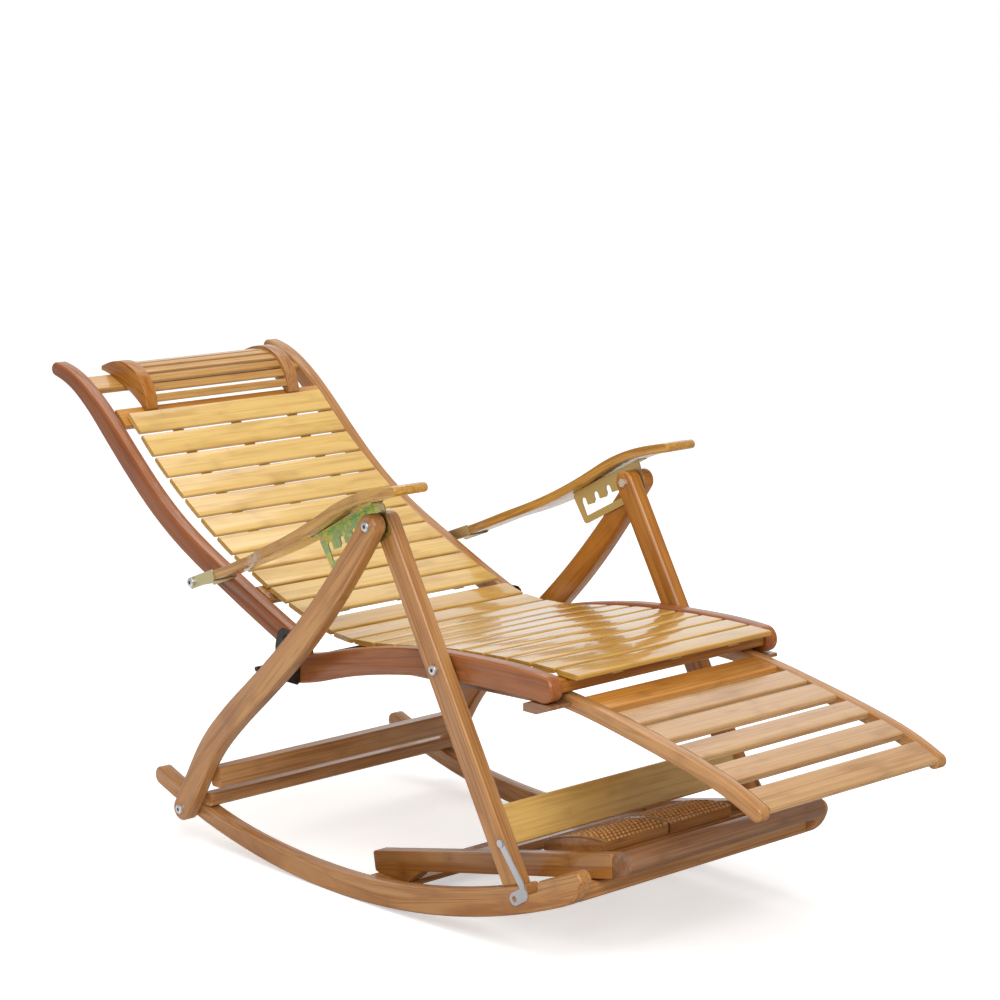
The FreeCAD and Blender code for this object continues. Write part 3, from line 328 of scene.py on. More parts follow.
def bamboo_grain():
    """Node group of bamboo strips: fibres and streaks along the grain, glue lines, and rings of the canes.

    It reads the vector attribute grain, in metres along, across and through the board, and the shade."""
    tree = bpy.data.node_groups.new("Bamboo grain", "ShaderNodeTree")
    face = tree.interface
    face.new_socket("Tone", in_out="INPUT", socket_type="NodeSocketColor")
    for name in ("Strip width", "Layer", "Ring spacing", "Streaks", "Rings"):
        face.new_socket(name, in_out="INPUT", socket_type="NodeSocketFloat")
    face.new_socket("Color", in_out="OUTPUT", socket_type="NodeSocketColor")
    face.new_socket("Height", in_out="OUTPUT", socket_type="NodeSocketFloat")
    given = tree.nodes.new("NodeGroupInput").outputs
    pen = Wiring(tree)
    parts = pen.parts(pen.add("ShaderNodeAttribute", attribute_name="grain").outputs["Vector"])
    shade = pen.add("ShaderNodeAttribute", attribute_name="shade").outputs["Fac"]
    along, across, through = parts[0], parts[1], parts[2]
    strip = pen.over(across, given["Strip width"])
    layer = pen.over(through, given["Layer"])
    # Each strip and each layer of each board has random numbers of its own.
    first = pen.times_plus(shade, 31.7, pen.times(pen.math("FLOOR", strip), 7.13))
    second = pen.times_plus(shade, 17.3, pen.times(pen.math("FLOOR", layer), 3.71))
    seed = pen.joined(first, second, 0.37)
    chance = pen.add("ShaderNodeTexWhiteNoise", {"Vector": seed}, noise_dimensions="3D").outputs["Color"]
    luck = pen.add("ShaderNodeSeparateColor", {0: chance}).outputs
    fibre = pen.noise(pen.stretched(parts, FIBRE_TURNS, seed), 1.0, 3.0)
    streak = pen.noise(pen.stretched(parts, STREAK_TURNS, seed), 1.0, 4.0)
    cloud = pen.noise(pen.stretched(parts, CLOUD_TURNS, seed), 1.0, 2.0)
    # Distance from the nearest ring of the cane, with a little wander across the strip.
    wander = pen.times_plus(cloud, 0.05, luck[0])
    turns = pen.math("ADD", pen.over(along, given["Ring spacing"]), wander)
    away = pen.times(pen.off_middle(turns), given["Ring spacing"])
    line = pen.mapped(away, 0.0006, 0.0022, 1.0, 0.0)
    halo = pen.mapped(away, 0.0, 0.024, 1.0, 0.0)
    halo_rough = pen.times(halo, pen.mapped(streak, 0.35, 0.62, 1.0, 0.25))
    ring = pen.math("ADD", pen.times(line, 0.14), pen.times(halo_rough, 0.46))
    # Tone of the strip, then clouds, streaks, fibres, rings and glue lines over it.
    tone = given["Tone"]
    deep = pen.blend(1.0, tone, DEEP_STAIN, "MULTIPLY")
    darker = pen.blend(1.0, deep, DARK_STAIN, "MULTIPLY")
    pale = pen.blend(0.16, tone, PALE_STAIN)
    body = pen.blend(pen.mapped(luck[1], 0.0, 1.0, 0.0, 0.55), tone, pale)
    body = pen.blend(pen.mapped(cloud, 0.45, 0.72, 0.0, 0.5), body, deep)
    for value, low, high, most in ((streak, 0.46, 0.66, 0.50), (fibre, 0.48, 0.68, 0.36)):
        body = pen.blend(pen.times(pen.mapped(value, low, high, 0.0, most), given["Streaks"]), body, deep)
    body = pen.blend(pen.times(ring, given["Rings"]), body, darker)
    glue = pen.math("MAXIMUM", pen.mapped(pen.off_middle(strip), 0.482, 0.498, 0.0, 1.0),
                    pen.mapped(pen.off_middle(layer), 0.45, 0.495, 0.0, 0.8))
    body = pen.blend(pen.times(glue, 0.33), body, darker)
    height = pen.times_plus(halo, 0.9, pen.times(fibre, 0.35))
    height = pen.math("SUBTRACT", height, pen.times(glue, 0.25))
    pen.add("NodeGroupOutput", {"Color": body, "Height": height})
    return tree


def surface(name, rough, metallic=0.0, coat=0.0, coat_rough=0.05):
    """Material with one surface shader, whose even numbers are set on its own sockets."""
    material = bpy.data.materials.new(name)
    material.use_nodes = True
    shader = material.node_tree.nodes["Principled BSDF"].inputs
    shader["Roughness"].default_value = rough
    shader["Metallic"].default_value = metallic
    shader["Coat Weight"].default_value = coat
    shader["Coat Roughness"].default_value = coat_rough
    return material, Wiring(material.node_tree), shader


def bamboo(name, tone, strip, layer, rough, coat, streaks, rings, spacing):
    """Lacquered bamboo in one tone, with its strip width and layer thickness in metres."""
    material, pen, shader = surface(name, rough, coat=coat, coat_rough=0.07)
    group = bpy.data.node_groups.get("Bamboo grain") or bamboo_grain()
    grain = pen.add("ShaderNodeGroup", {
        "Tone": (*tone, 1.0), "Strip width": strip, "Layer": layer, "Ring spacing": spacing,
        "Streaks": streaks, "Rings": rings}, node_tree=group).outputs
    pen.fill(shader["Base Color"], grain["Color"])
    pen.relief(shader, grain["Height"], 0.35, 0.0005)
    return material


def plated(name, strength, base, film):
    """Plated sheet metal. Its film shifts between a few colours in soft clouds."""
    material, pen, shader = surface(name, 0.30, metallic=1.0)
    place = pen.add("ShaderNodeTexCoord").outputs["Object"]
    broad = pen.noise(place, 26.0, 3.0, 0.6)
    fine = pen.noise(place, 120.0, 2.0, 0.5)
    ramp = pen.add("ShaderNodeValToRGB", {0: pen.times_plus(fine, 0.25, pen.times(broad, 0.8))})
    while len(ramp.color_ramp.elements) < len(film):
        ramp.color_ramp.elements.new(0.5)
    for element, (at, colour) in zip(ramp.color_ramp.elements, film):
        element.position = at
        element.color = (*colour, 1.0)
    pen.fill(shader["Base Color"], pen.blend(strength, (*base, 1.0), ramp.outputs[0]))
    pen.fill(shader["Roughness"], pen.mapped(fine, 0.3, 0.7, 0.22, 0.40))
    pen.relief(shader, fine, 0.15, 0.0003)
    return material


def woven(name, tone):
    """Narrow woven strap: crossing threads in both directions and a little fuzz."""
    material, pen, shader = surface(name, 0.85)
    shader["Sheen Weight"].default_value = 0.25
    grain = pen.add("ShaderNodeAttribute", attribute_name="grain").outputs["Vector"]
    along, across = pen.parts(grain)[:2]
    warp = pen.math("SINE", pen.times(across, WARP_TURNS))
    weft = pen.math("SINE", pen.times(along, WEFT_TURNS))
    weave = pen.times_plus(pen.times(warp, weft), 0.5, 0.5)
    fuzz = pen.noise(grain, 900.0, 2.0)
    mixed = pen.times_plus(fuzz, 0.5, pen.times(weave, 0.5))
    pale = tuple(min(1.0, part * 1.75) for part in tone)
    pen.fill(shader["Base Color"], pen.blend(mixed, (*tone, 1.0), (*pale, 1.0)))
    pen.relief(shader, weave, 0.6, 0.0004)
    return material


# Finish: slot, strip width, layer thickness, roughness, coat, strength of streaks and rings, ring spacing.
BAMBOO = {
    "honey": ("honey_bamboo", 0.0233, 0.02, 0.26, 0.60, 0.62, 0.45, 0.33),
    "gold": ("honey_bamboo", 0.0233, 0.02, 0.20, 0.90, 0.62, 0.5, 0.33),
    "wheat": ("honey_bamboo", 0.0233, 0.02, 0.26, 0.60, 0.8, 0.6, 0.31),
    "caramel": ("honey_bamboo", 0.0233, 0.02, 0.28, 0.50, 0.8, 0.6, 0.33),
    "tan": ("tan_bamboo", 0.0215, 0.0052, 0.31, 0.27, 1.5, 0.5, 0.27),
    "ochre": ("tan_bamboo", 0.0215, 0.0052, 0.32, 0.20, 1.4, 0.5, 0.29),
    "red": ("red_bamboo", 0.0215, 0.0052, 0.33, 0.30, 1.3, 0.5, 0.27),
    "olive": ("olive_bamboo", 0.0134, 0.005, 0.24, 0.60, 1.7, 0.8, 0.27),
    "amber": ("amber_bamboo", 0.030, 0.007, 0.36, 0.35, 1.0, 0.8, 0.27),
    "umber": ("amber_bamboo", 0.030, 0.007, 0.34, 0.40, 1.0, 1.0, 0.27),
    "cocoa": ("tan_bamboo", 0.0205, 0.007, 0.34, 0.40, 1.0, 0.8, 0.27),
    "dusk": ("honey_bamboo", 0.0205, 0.007, 0.28, 0.55, 0.9, 0.5, 0.31),
    "syrup": ("honey_bamboo", 0.0205, 0.007, 0.26, 0.60, 0.9, 0.9, 0.31),
}
# Colours of the plated film, each after the noise level at which it stands.
FILM_GREEN = ((0.34, (0.84, 0.66, 0.13)), (0.43, (0.62, 0.62, 0.16)), (0.51, (0.30, 0.48, 0.26)),
              (0.58, (0.70, 0.64, 0.14)), (0.68, (0.62, 0.50, 0.40)))
FILM_YELLOW = ((0.34, (0.80, 0.46, 0.40)), (0.44, (0.88, 0.70, 0.24)), (0.52, (0.80, 0.74, 0.30)),
               (0.60, (0.50, 0.68, 0.36)), (0.70, (0.86, 0.64, 0.26)))
FILM_PALE = ((0.36, (0.92, 0.66, 0.66)), (0.45, (0.90, 0.88, 0.84)), (0.52, (0.66, 0.86, 0.72)),
             (0.59, (0.90, 0.84, 0.66)), (0.68, (0.90, 0.68, 0.72)))
# Finish: slot, strength of the film, colour of the metal below it, film.
METALS = {
    "green_zinc": ("yellow_zinc", 0.92, (0.62, 0.60, 0.22), FILM_GREEN),
    "yellow_zinc": ("yellow_zinc", 0.90, (0.80, 0.62, 0.24), FILM_YELLOW),
    "bright_zinc": ("bright_zinc", 0.60, (0.76, 0.75, 0.72), FILM_PALE),
    # Dark steel is the own colour of the hinges, rod and back screws, and also paints the shade in the bolt
    # sockets.
    "dark_steel_and_shade": ("bright_zinc", 0.02, (0.05, 0.047, 0.045), FILM_PALE),
}
SLOTS = {finish: row[0] for finish, row in {**BAMBOO, **METALS}.items()}
SLOTS["webbing"] = "webbing"


def finish_of(key):
    """The material of one finish, made the first time it is asked for."""
    found = bpy.data.materials.get(key)
    if found:
        return found
    colours = bpy.context.scene.chair_colours
    if key in BAMBOO:
        return bamboo(key, getattr(colours, key), *BAMBOO[key][1:])
    if key in METALS:
        return plated(key, *METALS[key][1:])
    return woven(key, colours.strap)


# Mesh helpers


def new_object(name, mesh):
    item = bpy.data.objects.new(name, mesh)
    bpy.context.scene.collection.objects.link(item)
    return item


def merged_copy(node):
    """Closed mesh of a CAD node with its loose triangles joined and its flat faces whole again."""
    shape = bmesh.new()
    shape.from_mesh(NODES[node].data)
    bmesh.ops.remove_doubles(shape, verts=shape.verts, dist=MERGE_DISTANCE)
    bmesh.ops.dissolve_limit(shape, angle_limit=math.radians(FLAT_ANGLE), verts=shape.verts,
                             edges=shape.edges)
    mesh = bpy.data.meshes.new(node)
    shape.to_mesh(mesh)
    shape.free()
    return mesh


def baked(item, name):
    """New object in place of one whose modifiers are made part of its mesh."""
    bpy.context.view_layer.update()
    graph = bpy.context.evaluated_depsgraph_get()
    mesh = bpy.data.meshes.new_from_object(item.evaluated_get(graph), depsgraph=graph)
    plain = new_object(name, mesh)
    bpy.data.objects.remove(item)
    return plain


def softened(item, width, name, angle=BOARD_EDGE_ANGLE):
    """The object with its edges rounded a little and its faces shaded smooth."""
    for face in item.data.polygons:
        face.use_smooth = True
    bevel = item.modifiers.new("Soft edges", "BEVEL")
    bevel.width = width
    bevel.segments = 2
    bevel.limit_method = "ANGLE"
    bevel.angle_limit = math.radians(angle)
    bevel.harden_normals = True
    return baked(item, name)


def coordinates(mesh):
    values = np.empty(len(mesh.vertices) * 3)
    mesh.vertices.foreach_get("co", values)
    return values.reshape(-1, 3)


def write(mesh, name, values):
    """Stores one number or one vector for each point of a mesh under a name."""
    values = np.asarray(values, np.float32)
    kind, field = ("FLOAT", "value") if values.ndim == 1 else ("FLOAT_VECTOR", "vector")
    layer = mesh.attributes.get(name) or mesh.attributes.new(name, kind, "POINT")
    layer.data.foreach_set(field, values.ravel())


def grain_along(points, run):
    """Distance along a middle line and beside it for each point, in the plane of the side of the chair.

    The first and last step of the line go on without end."""
    line = np.array(run)
    steps = np.diff(line, axis=0)
    lengths = np.hypot(steps[:, 0], steps[:, 1])
    before = np.concatenate(([0.0], np.cumsum(lengths)))
    last = len(steps) - 1
    best = np.full(len(points), np.inf)
    along = np.zeros(len(points))
    beside = np.zeros(len(points))
    for i, (start, step, length) in enumerate(zip(line, steps, lengths)):
        way = step / length
        offset = points[:, 1:] - start
        held = np.clip(offset @ way, 0.0 if i else -np.inf, np.inf if i == last else length)
        gap = np.hypot(*(offset - held[:, None] * way).T)
        side = np.sign(offset[:, 0] * way[1] - offset[:, 1] * way[0])
        closer = gap < best
        best = np.where(closer, gap, best)
        along = np.where(closer, before[i] + held, along)
        beside = np.where(closer, gap * side, beside)
    return along, beside


def grain_for(item, run, flat_top, shade):
    """Writes the grain of a board. Without a run the board lies across the chair and its grain follows X.

    With flat_top the strips lie side by side across X, as on an armrest."""
    points = coordinates(item.data)
    if run is None:
        middle = points[:, 1:].mean(0)
        spread = points[:, 1:] - middle
        way = np.linalg.eigh(spread.T @ spread)[1][:, -1]
        along = points[:, 0]
        beside = spread @ way
        through = spread @ np.array((-way[1], way[0]))
    else:
        along, beside = grain_along(points, run)
        through = points[:, 0]
        if flat_top:
            beside, through = through, beside
    write(item.data, "grain", np.stack([along, beside, through], 1))
    write(item.data, "shade", np.full(len(points), shade))


def dress(item, finish, body, *nodes):
    """Gives a finished piece its material, its body and the nodes it stands for."""
    item.data.materials.clear()
    item.data.materials.append(finish_of(finish))
    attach(item, body)
    if nodes:
        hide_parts(*nodes)
    return item


def shade_of(name):
    """A steady number between 0 and 1 for a name, so that each board has its own grain."""
    return random.Random(name).random()


def wooden_board(node, body, finish, soft, run=None, flat_top=False):
    """The board of one CAD node with soft edges, its own grain and a finish."""
    item = new_object(node + "_raw", merged_copy(node))
    item = softened(item, soft, node + "_wood")
    grain_for(item, run, flat_top, shade_of(node))
    return dress(item, finish, body, node)


def loose_parts(node):
    """Middle, width, thickness, length and turn about X of each separate solid of a node."""
    shape = bmesh.new()
    shape.from_mesh(NODES[node].data)
    bmesh.ops.remove_doubles(shape, verts=shape.verts, dist=MERGE_DISTANCE)
    left = set(shape.verts)
    found = []
    while left:
        stack = [left.pop()]
        group = []
        while stack:
            vert = stack.pop()
            group.append(vert.co.copy())
            for edge in vert.link_edges:
                other = edge.other_vert(vert)
                if other in left:
                    left.remove(other)
                    stack.append(other)
        points = np.array(group)
        middle = (points.min(0) + points.max(0)) / 2.0
        flat = points[:, 1:] - points[:, 1:].mean(0)
        way = np.linalg.eigh(flat.T @ flat)[1][:, -1]
        way = way if way[0] > 0 else -way
        upward = np.array((-way[1], way[0]))
        wide = flat @ way
        thick = flat @ upward
        middle[1:] = (points[:, 1:].mean(0) + way * (wide.max() + wide.min()) / 2.0
                      + upward * (thick.max() + thick.min()) / 2.0)
        found.append((middle, np.ptp(wide), np.ptp(thick), np.ptp(points[:, 0]), math.atan2(way[1], way[0])))
    shape.free()
    return sorted(found, key=lambda part: -part[0][1])


# Geometry Nodes trees


def geometry_tree(name, sockets):
    """New tree with a geometry input and output and named inputs for its sizes."""
    tree = bpy.data.node_groups.new(name, "GeometryNodeTree")
    face = tree.interface
    face.new_socket("Geometry", in_out="INPUT", socket_type="NodeSocketGeometry")
    for label, kind in sockets.items():
        face.new_socket(label, in_out="INPUT", socket_type="NodeSocket" + kind)
    face.new_socket("Geometry", in_out="OUTPUT", socket_type="NodeSocketGeometry")
    return Wiring(tree), tree.nodes.new("NodeGroupInput").outputs


def close_tree(pen, geometry, material):
    """Ends a tree: instances made real, then the material set."""
    real = pen.out("GeometryNodeRealizeInstances", {0: geometry})
    painted = pen.out("GeometryNodeSetMaterial", {"Geometry": real, "Material": material})
    pen.add("NodeGroupOutput", {0: painted})
    return pen.tree


def lath_tree():
    """Laths of one section laid on points. Each point carries its turn about X and its shade."""
    pen, given = geometry_tree("Lath row", {
        "Width": "Float", "Thickness": "Float", "Length": "Float", "Rounding": "Float", "Crown": "Float",
        "Material": "Material"})
    section = pen.out("GeometryNodeFilletCurve", {
        "Curve": pen.section(given["Width"], given["Thickness"], 2), "Radius": given["Rounding"],
        "Count": 4}, mode="POLY")
    # The crown lifts the upper side of the section and is nothing at its two edges.
    at = pen.parts(pen.position())
    upper = pen.math("GREATER_THAN", at[1], 0.0)
    lift = pen.times(pen.times(pen.arch(at[0], given["Width"]), upper), given["Crown"])
    section = pen.out("GeometryNodeSetPosition", {"Geometry": section, "Offset": pen.joined(y=lift)})
    half = pen.times(given["Length"], 0.5)
    line = pen.out("GeometryNodeCurvePrimitiveLine",
                   {"Start": pen.joined(pen.times(half, -1.0)), "End": pen.joined(half)})
    lath = pen.stored(pen.swept(pen.upright(line), section), "grain", pen.position(), "FLOAT_VECTOR")
    row = pen.out("GeometryNodeInstanceOnPoints", {
        "Points": given["Geometry"], "Instance": lath, "Rotation": pen.joined(x=pen.carried("turn"))})
    return close_tree(pen, row, given["Material"])


def bead_tree():
    """Beads in rows on an arched pad: a grid of points bent to the arch, with one bead on each."""
    pen, given = geometry_tree("Bead rows", {
        "Pad length": "Float", "Pad width": "Float", "Rows": "Int", "Pitch": "Float", "Radius": "Float",
        "Arch": "Float", "Slope": "Float", "Middle": "Vector", "Material": "Material"})
    count = pen.math("FLOOR", pen.over(given["Pad width"], given["Pitch"]))
    grid = pen.out("GeometryNodeMeshGrid", {
        "Size X": given["Pad width"], "Size Y": given["Pad length"], "Vertices X": count,
        "Vertices Y": given["Rows"]})
    at = pen.parts(pen.position())
    height = pen.times_plus(pen.arch(at[1], given["Pad length"]), given["Arch"],
                            pen.times(at[1], given["Slope"]))
    place = pen.shifted(pen.joined(at[0], at[1], height), given["Middle"])
    grid = pen.out("GeometryNodeSetPosition", {"Geometry": grid, "Position": place})
    bead = pen.out("GeometryNodeMeshUVSphere", {"Segments": 8, "Rings": 5, "Radius": given["Radius"]})
    bead = pen.stored(bead, "grain", pen.position(), "FLOAT_VECTOR")
    bead = pen.out("GeometryNodeSetShadeSmooth", {"Geometry": bead})
    rows = pen.out("GeometryNodeInstanceOnPoints", {"Points": grid, "Instance": bead})
    chance = pen.add("FunctionNodeRandomValue", {"Seed": BEAD_SEED}, data_type="FLOAT").outputs
    luck = next(socket for socket in chance if socket.enabled)
    return close_tree(pen, pen.stored(rows, "shade", luck, domain="INSTANCE"), given["Material"])


def strap_tree():
    """Flat strap drawn along a curve, with its length and width kept as its weave directions."""
    pen, given = geometry_tree("Webbing strap", {"Width": "Float", "Thickness": "Float",
                                                 "Material": "Material"})
    section = pen.section(given["Width"], given["Thickness"], 3)
    section = pen.stored(section, "weave_across", pen.parts(pen.position())[0])
    line = pen.out("GeometryNodeResampleCurve", {"Curve": pen.upright(given["Geometry"]),
                                                 "Length": STRAP_STEP}, mode="LENGTH")
    line = pen.stored(line, "weave_along", pen.add("GeometryNodeSplineParameter").outputs["Length"])
    weave = pen.joined(pen.carried("weave_along"), pen.carried("weave_across"))
    strap = pen.stored(pen.swept(line, section), "grain", weave, "FLOAT_VECTOR")
    return close_tree(pen, strap, given["Material"])


def cap_tree():
    """Domed bolt heads with a hexagon socket, one on each point, facing outwards along X."""
    pen, given = geometry_tree("Bolt caps", {"Cap": "Object", "Material": "Material"})
    cap = pen.add("GeometryNodeObjectInfo", {"Object": given["Cap"], "As Instance": False},
                  transform_space="ORIGINAL").outputs["Geometry"]
    row = pen.out("GeometryNodeInstanceOnPoints", {
        "Points": given["Geometry"], "Instance": cap, "Rotation": pen.joined(z=pen.carried("turn"))})
    return close_tree(pen, row, given["Material"])


def grown(item, tree, values, name):
    """The result of a tree on an object as a plain mesh object at the origin."""
    modifier = item.modifiers.new("Nodes", "NODES")
    modifier.node_group = tree
    for socket in tree.interface.items_tree:
        if socket.item_type == "SOCKET" and socket.in_out == "INPUT" and socket.name in values:
            modifier[socket.identifier] = values[socket.name]
    return baked(item, name)


def point_mesh(name, points, numbers):
    mesh = bpy.data.meshes.new(name)
    mesh.from_pydata([tuple(p) for p in points], [], [])
    for key, values in numbers.items():
        write(mesh, key, values)
    return mesh


def line_object(name, lines):
    """Curve object with one run of straight steps for each list of places."""
    curve = bpy.data.curves.new(name, "CURVE")
    curve.dimensions = "3D"
    for places in lines:
        spline = curve.splines.new("POLY")
        spline.points.add(len(places) - 1)
        for point, place in zip(spline.points, places):
            point.co = (*place, 1.0)
    return new_object(name + "_line", curve)


# Operators


class CHAIR_OT_side_boards(bpy.types.Operator):
    """Bent rails, legs, rockers and boards of the headrest and massager, with soft edges and running grain"""
    bl_idname = "chair.side_boards"
    bl_label = "Side boards"

    def execute(self, context):
        soft = context.scene.chair_sizes.edge_soft
        # Stem of the node's name, body, finish on the right and on the left, middle line.
        boards = (("back_rail", "back", "red", "tan", BACK_RUN),
                  ("seat_rail", "leg_frame", "red", "red", SEAT_RUN),
                  # The far legs' ochre against the near legs' tan is partly painted shade.
                  ("rear_leg", "leg_frame", "tan", "ochre", REAR_LEG_RUN),
                  ("front_leg", "leg_frame", "tan", "ochre", FRONT_LEG_RUN),
                  ("rocker", "base", "tan", "tan", ROCKER_RUN),
                  ("footrest_rail", "footrest", "tan", "tan", FOOT_RUN),
                  ("massager_side", "base", "umber", "umber", MASSAGE_RUN),
                  ("headrest_board", "back", "ochre", "tan", HEAD_RUN),
                  ("seat_runner", "leg_frame", "cocoa", "cocoa", RUNNER_RUN))
        for stem, body, *finishes, run in boards:
            for side, finish in zip(SIDES, finishes):
                wooden_board(stem + "_" + side, body, finish, soft, run)
        return {"FINISHED"}


class CHAIR_OT_armrests(bpy.types.Operator):
    """Bent armrests glued from strips that lie side by side"""
    bl_idname = "chair.armrests"
    bl_label = "Armrests"

    def execute(self, context):
        soft = context.scene.chair_sizes.edge_soft * ARM_EDGE_FACTOR
        for side in SIDES:
            wooden_board("armrest_" + side, "arm_" + side, "olive", soft, ARM_RUN, True)
        return {"FINISHED"}


class CHAIR_OT_cross_bars(bpy.types.Operator):
    """Straight bars and boards that join the two sides"""
    bl_idname = "chair.cross_bars"
    bl_label = "Cross bars"

    def execute(self, context):
        soft = context.scene.chair_sizes.edge_soft
        # Node, body, finish.
        bars = (("rocker_bar_front", "base", "tan"), ("rocker_bar_rear", "base", "tan"),
                ("massager_shelf", "base", "umber"), ("massager_front_rail", "base", "cocoa"),
                ("massager_planks", "base", "umber"), ("rear_leg_bar", "leg_frame", "tan"),
                # The front leg board's dusk tone is partly painted light against the footrest's shadow.
                ("front_leg_board", "leg_frame", "dusk"), ("seat_bar_front", "leg_frame", "ochre"),
                ("back_bar_top", "back", "caramel"), ("back_bar_neck", "back", "syrup"),
                ("back_bar_low", "back", "tan"), ("footrest_bar_seat_end", "footrest", "syrup"))
        for node, body, finish in bars:
            wooden_board(node, body, finish, soft)
        return {"FINISHED"}


class CHAIR_OT_laths(bpy.types.Operator):
    """Laths of the seat, back, headrest and footrest, laid on the places of their CAD solids"""
    bl_idname = "chair.laths"
    bl_label = "Laths"

    def execute(self, context):
        sizes = context.scene.chair_sizes
        tree = lath_tree()
        # Piece, body, node, finish, scale of the rounding and crown.
        rows = [("seat_laths", "leg_frame", "seat_slats", "gold", 1.0),
                ("back_laths", "back", "back_slats", "honey", 1.0),
                ("headrest_laths", "back", "headrest_strips", "caramel", 0.6)]
        for i in range(1, 6):
            rows.append(("footrest_lath_%d" % i, "footrest", "footrest_slat_%d" % i, "wheat", 1.0))
        for name, body, node, finish, scale in rows:
            middles, widths, thicknesses, lengths, turns = zip(*loose_parts(node))
            luck = random.Random(name)
            points = point_mesh(name, middles, {"turn": turns, "shade": [luck.random() for _ in turns]})
            row = grown(new_object(name + "_points", points), tree, {
                "Width": float(widths[0]), "Thickness": float(thicknesses[0]), "Length": float(lengths[0]),
                "Rounding": sizes.lath_round * scale, "Crown": sizes.lath_crown * scale,
                "Material": finish_of(finish)}, name + "_row")
            dress(softened(row, LATH_EDGE, name, LATH_EDGE_ANGLE), finish, body, node)
        return {"FINISHED"}


class CHAIR_OT_webbing(bpy.types.Operator):
    """Woven straps that hold the laths together from below"""
    bl_idname = "chair.webbing"
    bl_label = "Webbing"

    def execute(self, context):
        tree = strap_tree()
        for name, body, row, node in (("seat_straps", "leg_frame", "seat_slats", "seat_webbing"),
                                      ("back_straps", "back", "back_slats", "back_webbing")):
            parts = loose_parts(row)
            thickness = parts[0][2]
            drop = thickness / 2.0 + STRAP_DROP
            bends = []
            for centre, wide, _, _, turn in parts:
                way = np.array((math.cos(turn), math.sin(turn)))
                under = np.array((way[1], -way[0]))
                for end in (1.0, -1.0):
                    bends.append(centre[1:] + way * end * (wide / 2.0 - STRAP_INSET) + under * drop)
            lines = [[(middle, *bend) for bend in bends] for middle in STRAP_PLACES]
            strap = grown(line_object(name, lines), tree, {
                "Width": STRAP_WIDTH, "Thickness": STRAP_THICKNESS, "Material": finish_of("webbing")}, name)
            for face in strap.data.polygons:
                face.use_smooth = False
            dress(strap, "webbing", body, node)
        return {"FINISHED"}


class CHAIR_OT_massage_pads(bpy.types.Operator):
    """Arched massage pads with rows of small beads"""
    bl_idname = "chair.massage_pads"
    bl_label = "Massage pads"

    def execute(self, context):
        sizes = context.scene.chair_sizes
        tree = bead_tree()
        for side in SIDES:
            node = "massage_pad_" + side
            wooden_board(node, "base", "umber", sizes.edge_soft)
            low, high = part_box(node)
            points = coordinates(NODES[node].data)
            rear = points[points[:, 1] > high.y - PAD_END, 2].max()
            front = points[points[:, 1] < low.y + PAD_END, 2].max()
            slope = (rear - front) / (high.y - low.y)
            middle = ((low.x + high.x) / 2.0, (low.y + high.y) / 2.0, (rear + front) / 2.0 + BEAD_LIFT)
            beads = grown(new_object("beads_" + side, bpy.data.meshes.new("beads")), tree, {
                "Pad length": high.y - low.y - PAD_MARGIN_ALONG,
                "Pad width": high.x - low.x - PAD_MARGIN_ACROSS,
                "Rows": sizes.row_count, "Pitch": sizes.bead_pitch, "Radius": sizes.bead_radius,
                "Arch": BEAD_ARCH, "Slope": float(slope), "Middle": middle,
                "Material": finish_of("amber")}, "massage_beads_" + side)
            dress(beads, "amber", "base")
            self.rims(side, low, high, middle, slope)
        return {"FINISHED"}

    def rims(self, side, low, high, middle, slope):
        """Raised arched edges of the pad, one at each end of its rows, whose pale tone partly paints the
        highlight along them.
        """
        half = (high.y - low.y) / 2.0
        lines = []
        for x in (low.x + RIM_INSET, high.x - RIM_INSET):
            places = []
            for i in range(RIM_STEPS + 1):
                share = 2.0 * i / RIM_STEPS - 1.0
                rise = RIM_ARCH * (1.0 - share * share) + slope * half * share
                places.append((x, middle[1] + half * share * RIM_SHARE, middle[2] + rise))
            lines.append(places)
        name = "massage_rims_" + side
        # The rims take the pale wheat tone, partly as a painted highlight.
        rim = grown(line_object(name, lines), strap_tree(), {
            "Width": RIM_WIDTH, "Thickness": RIM_THICKNESS, "Material": finish_of("wheat")}, name)
        dress(rim, "wheat", "base")


class CHAIR_OT_metalwork(bpy.types.Operator):
    """Plated armrest plates, brackets, latches and bolts, and the dark hinges and rod"""
    bl_idname = "chair.metalwork"
    bl_label = "Metalwork"

    def execute(self, context):
        nodes_of = {
            "green_zinc": ("slot_plate_right",),
            "yellow_zinc": ("slot_plate_left", "arm_bracket_right", "arm_bracket_left"),
            "dark_steel_and_shade": ("hinge_bracket_right", "hinge_bracket_left", "seat_rod", "back_screws"),
            "bright_zinc": ("latch_right", "latch_left", "base_bolts", "front_leg_pins", "rear_leg_pins",
                            "seat_bolts", "arm_bolts", "footrest_pegs"),
        }
        for finish, nodes in nodes_of.items():
            for node in nodes:
                mesh = NODES[node].data
                mesh.materials.clear()
                mesh.materials.append(finish_of(finish))
        return {"FINISHED"}


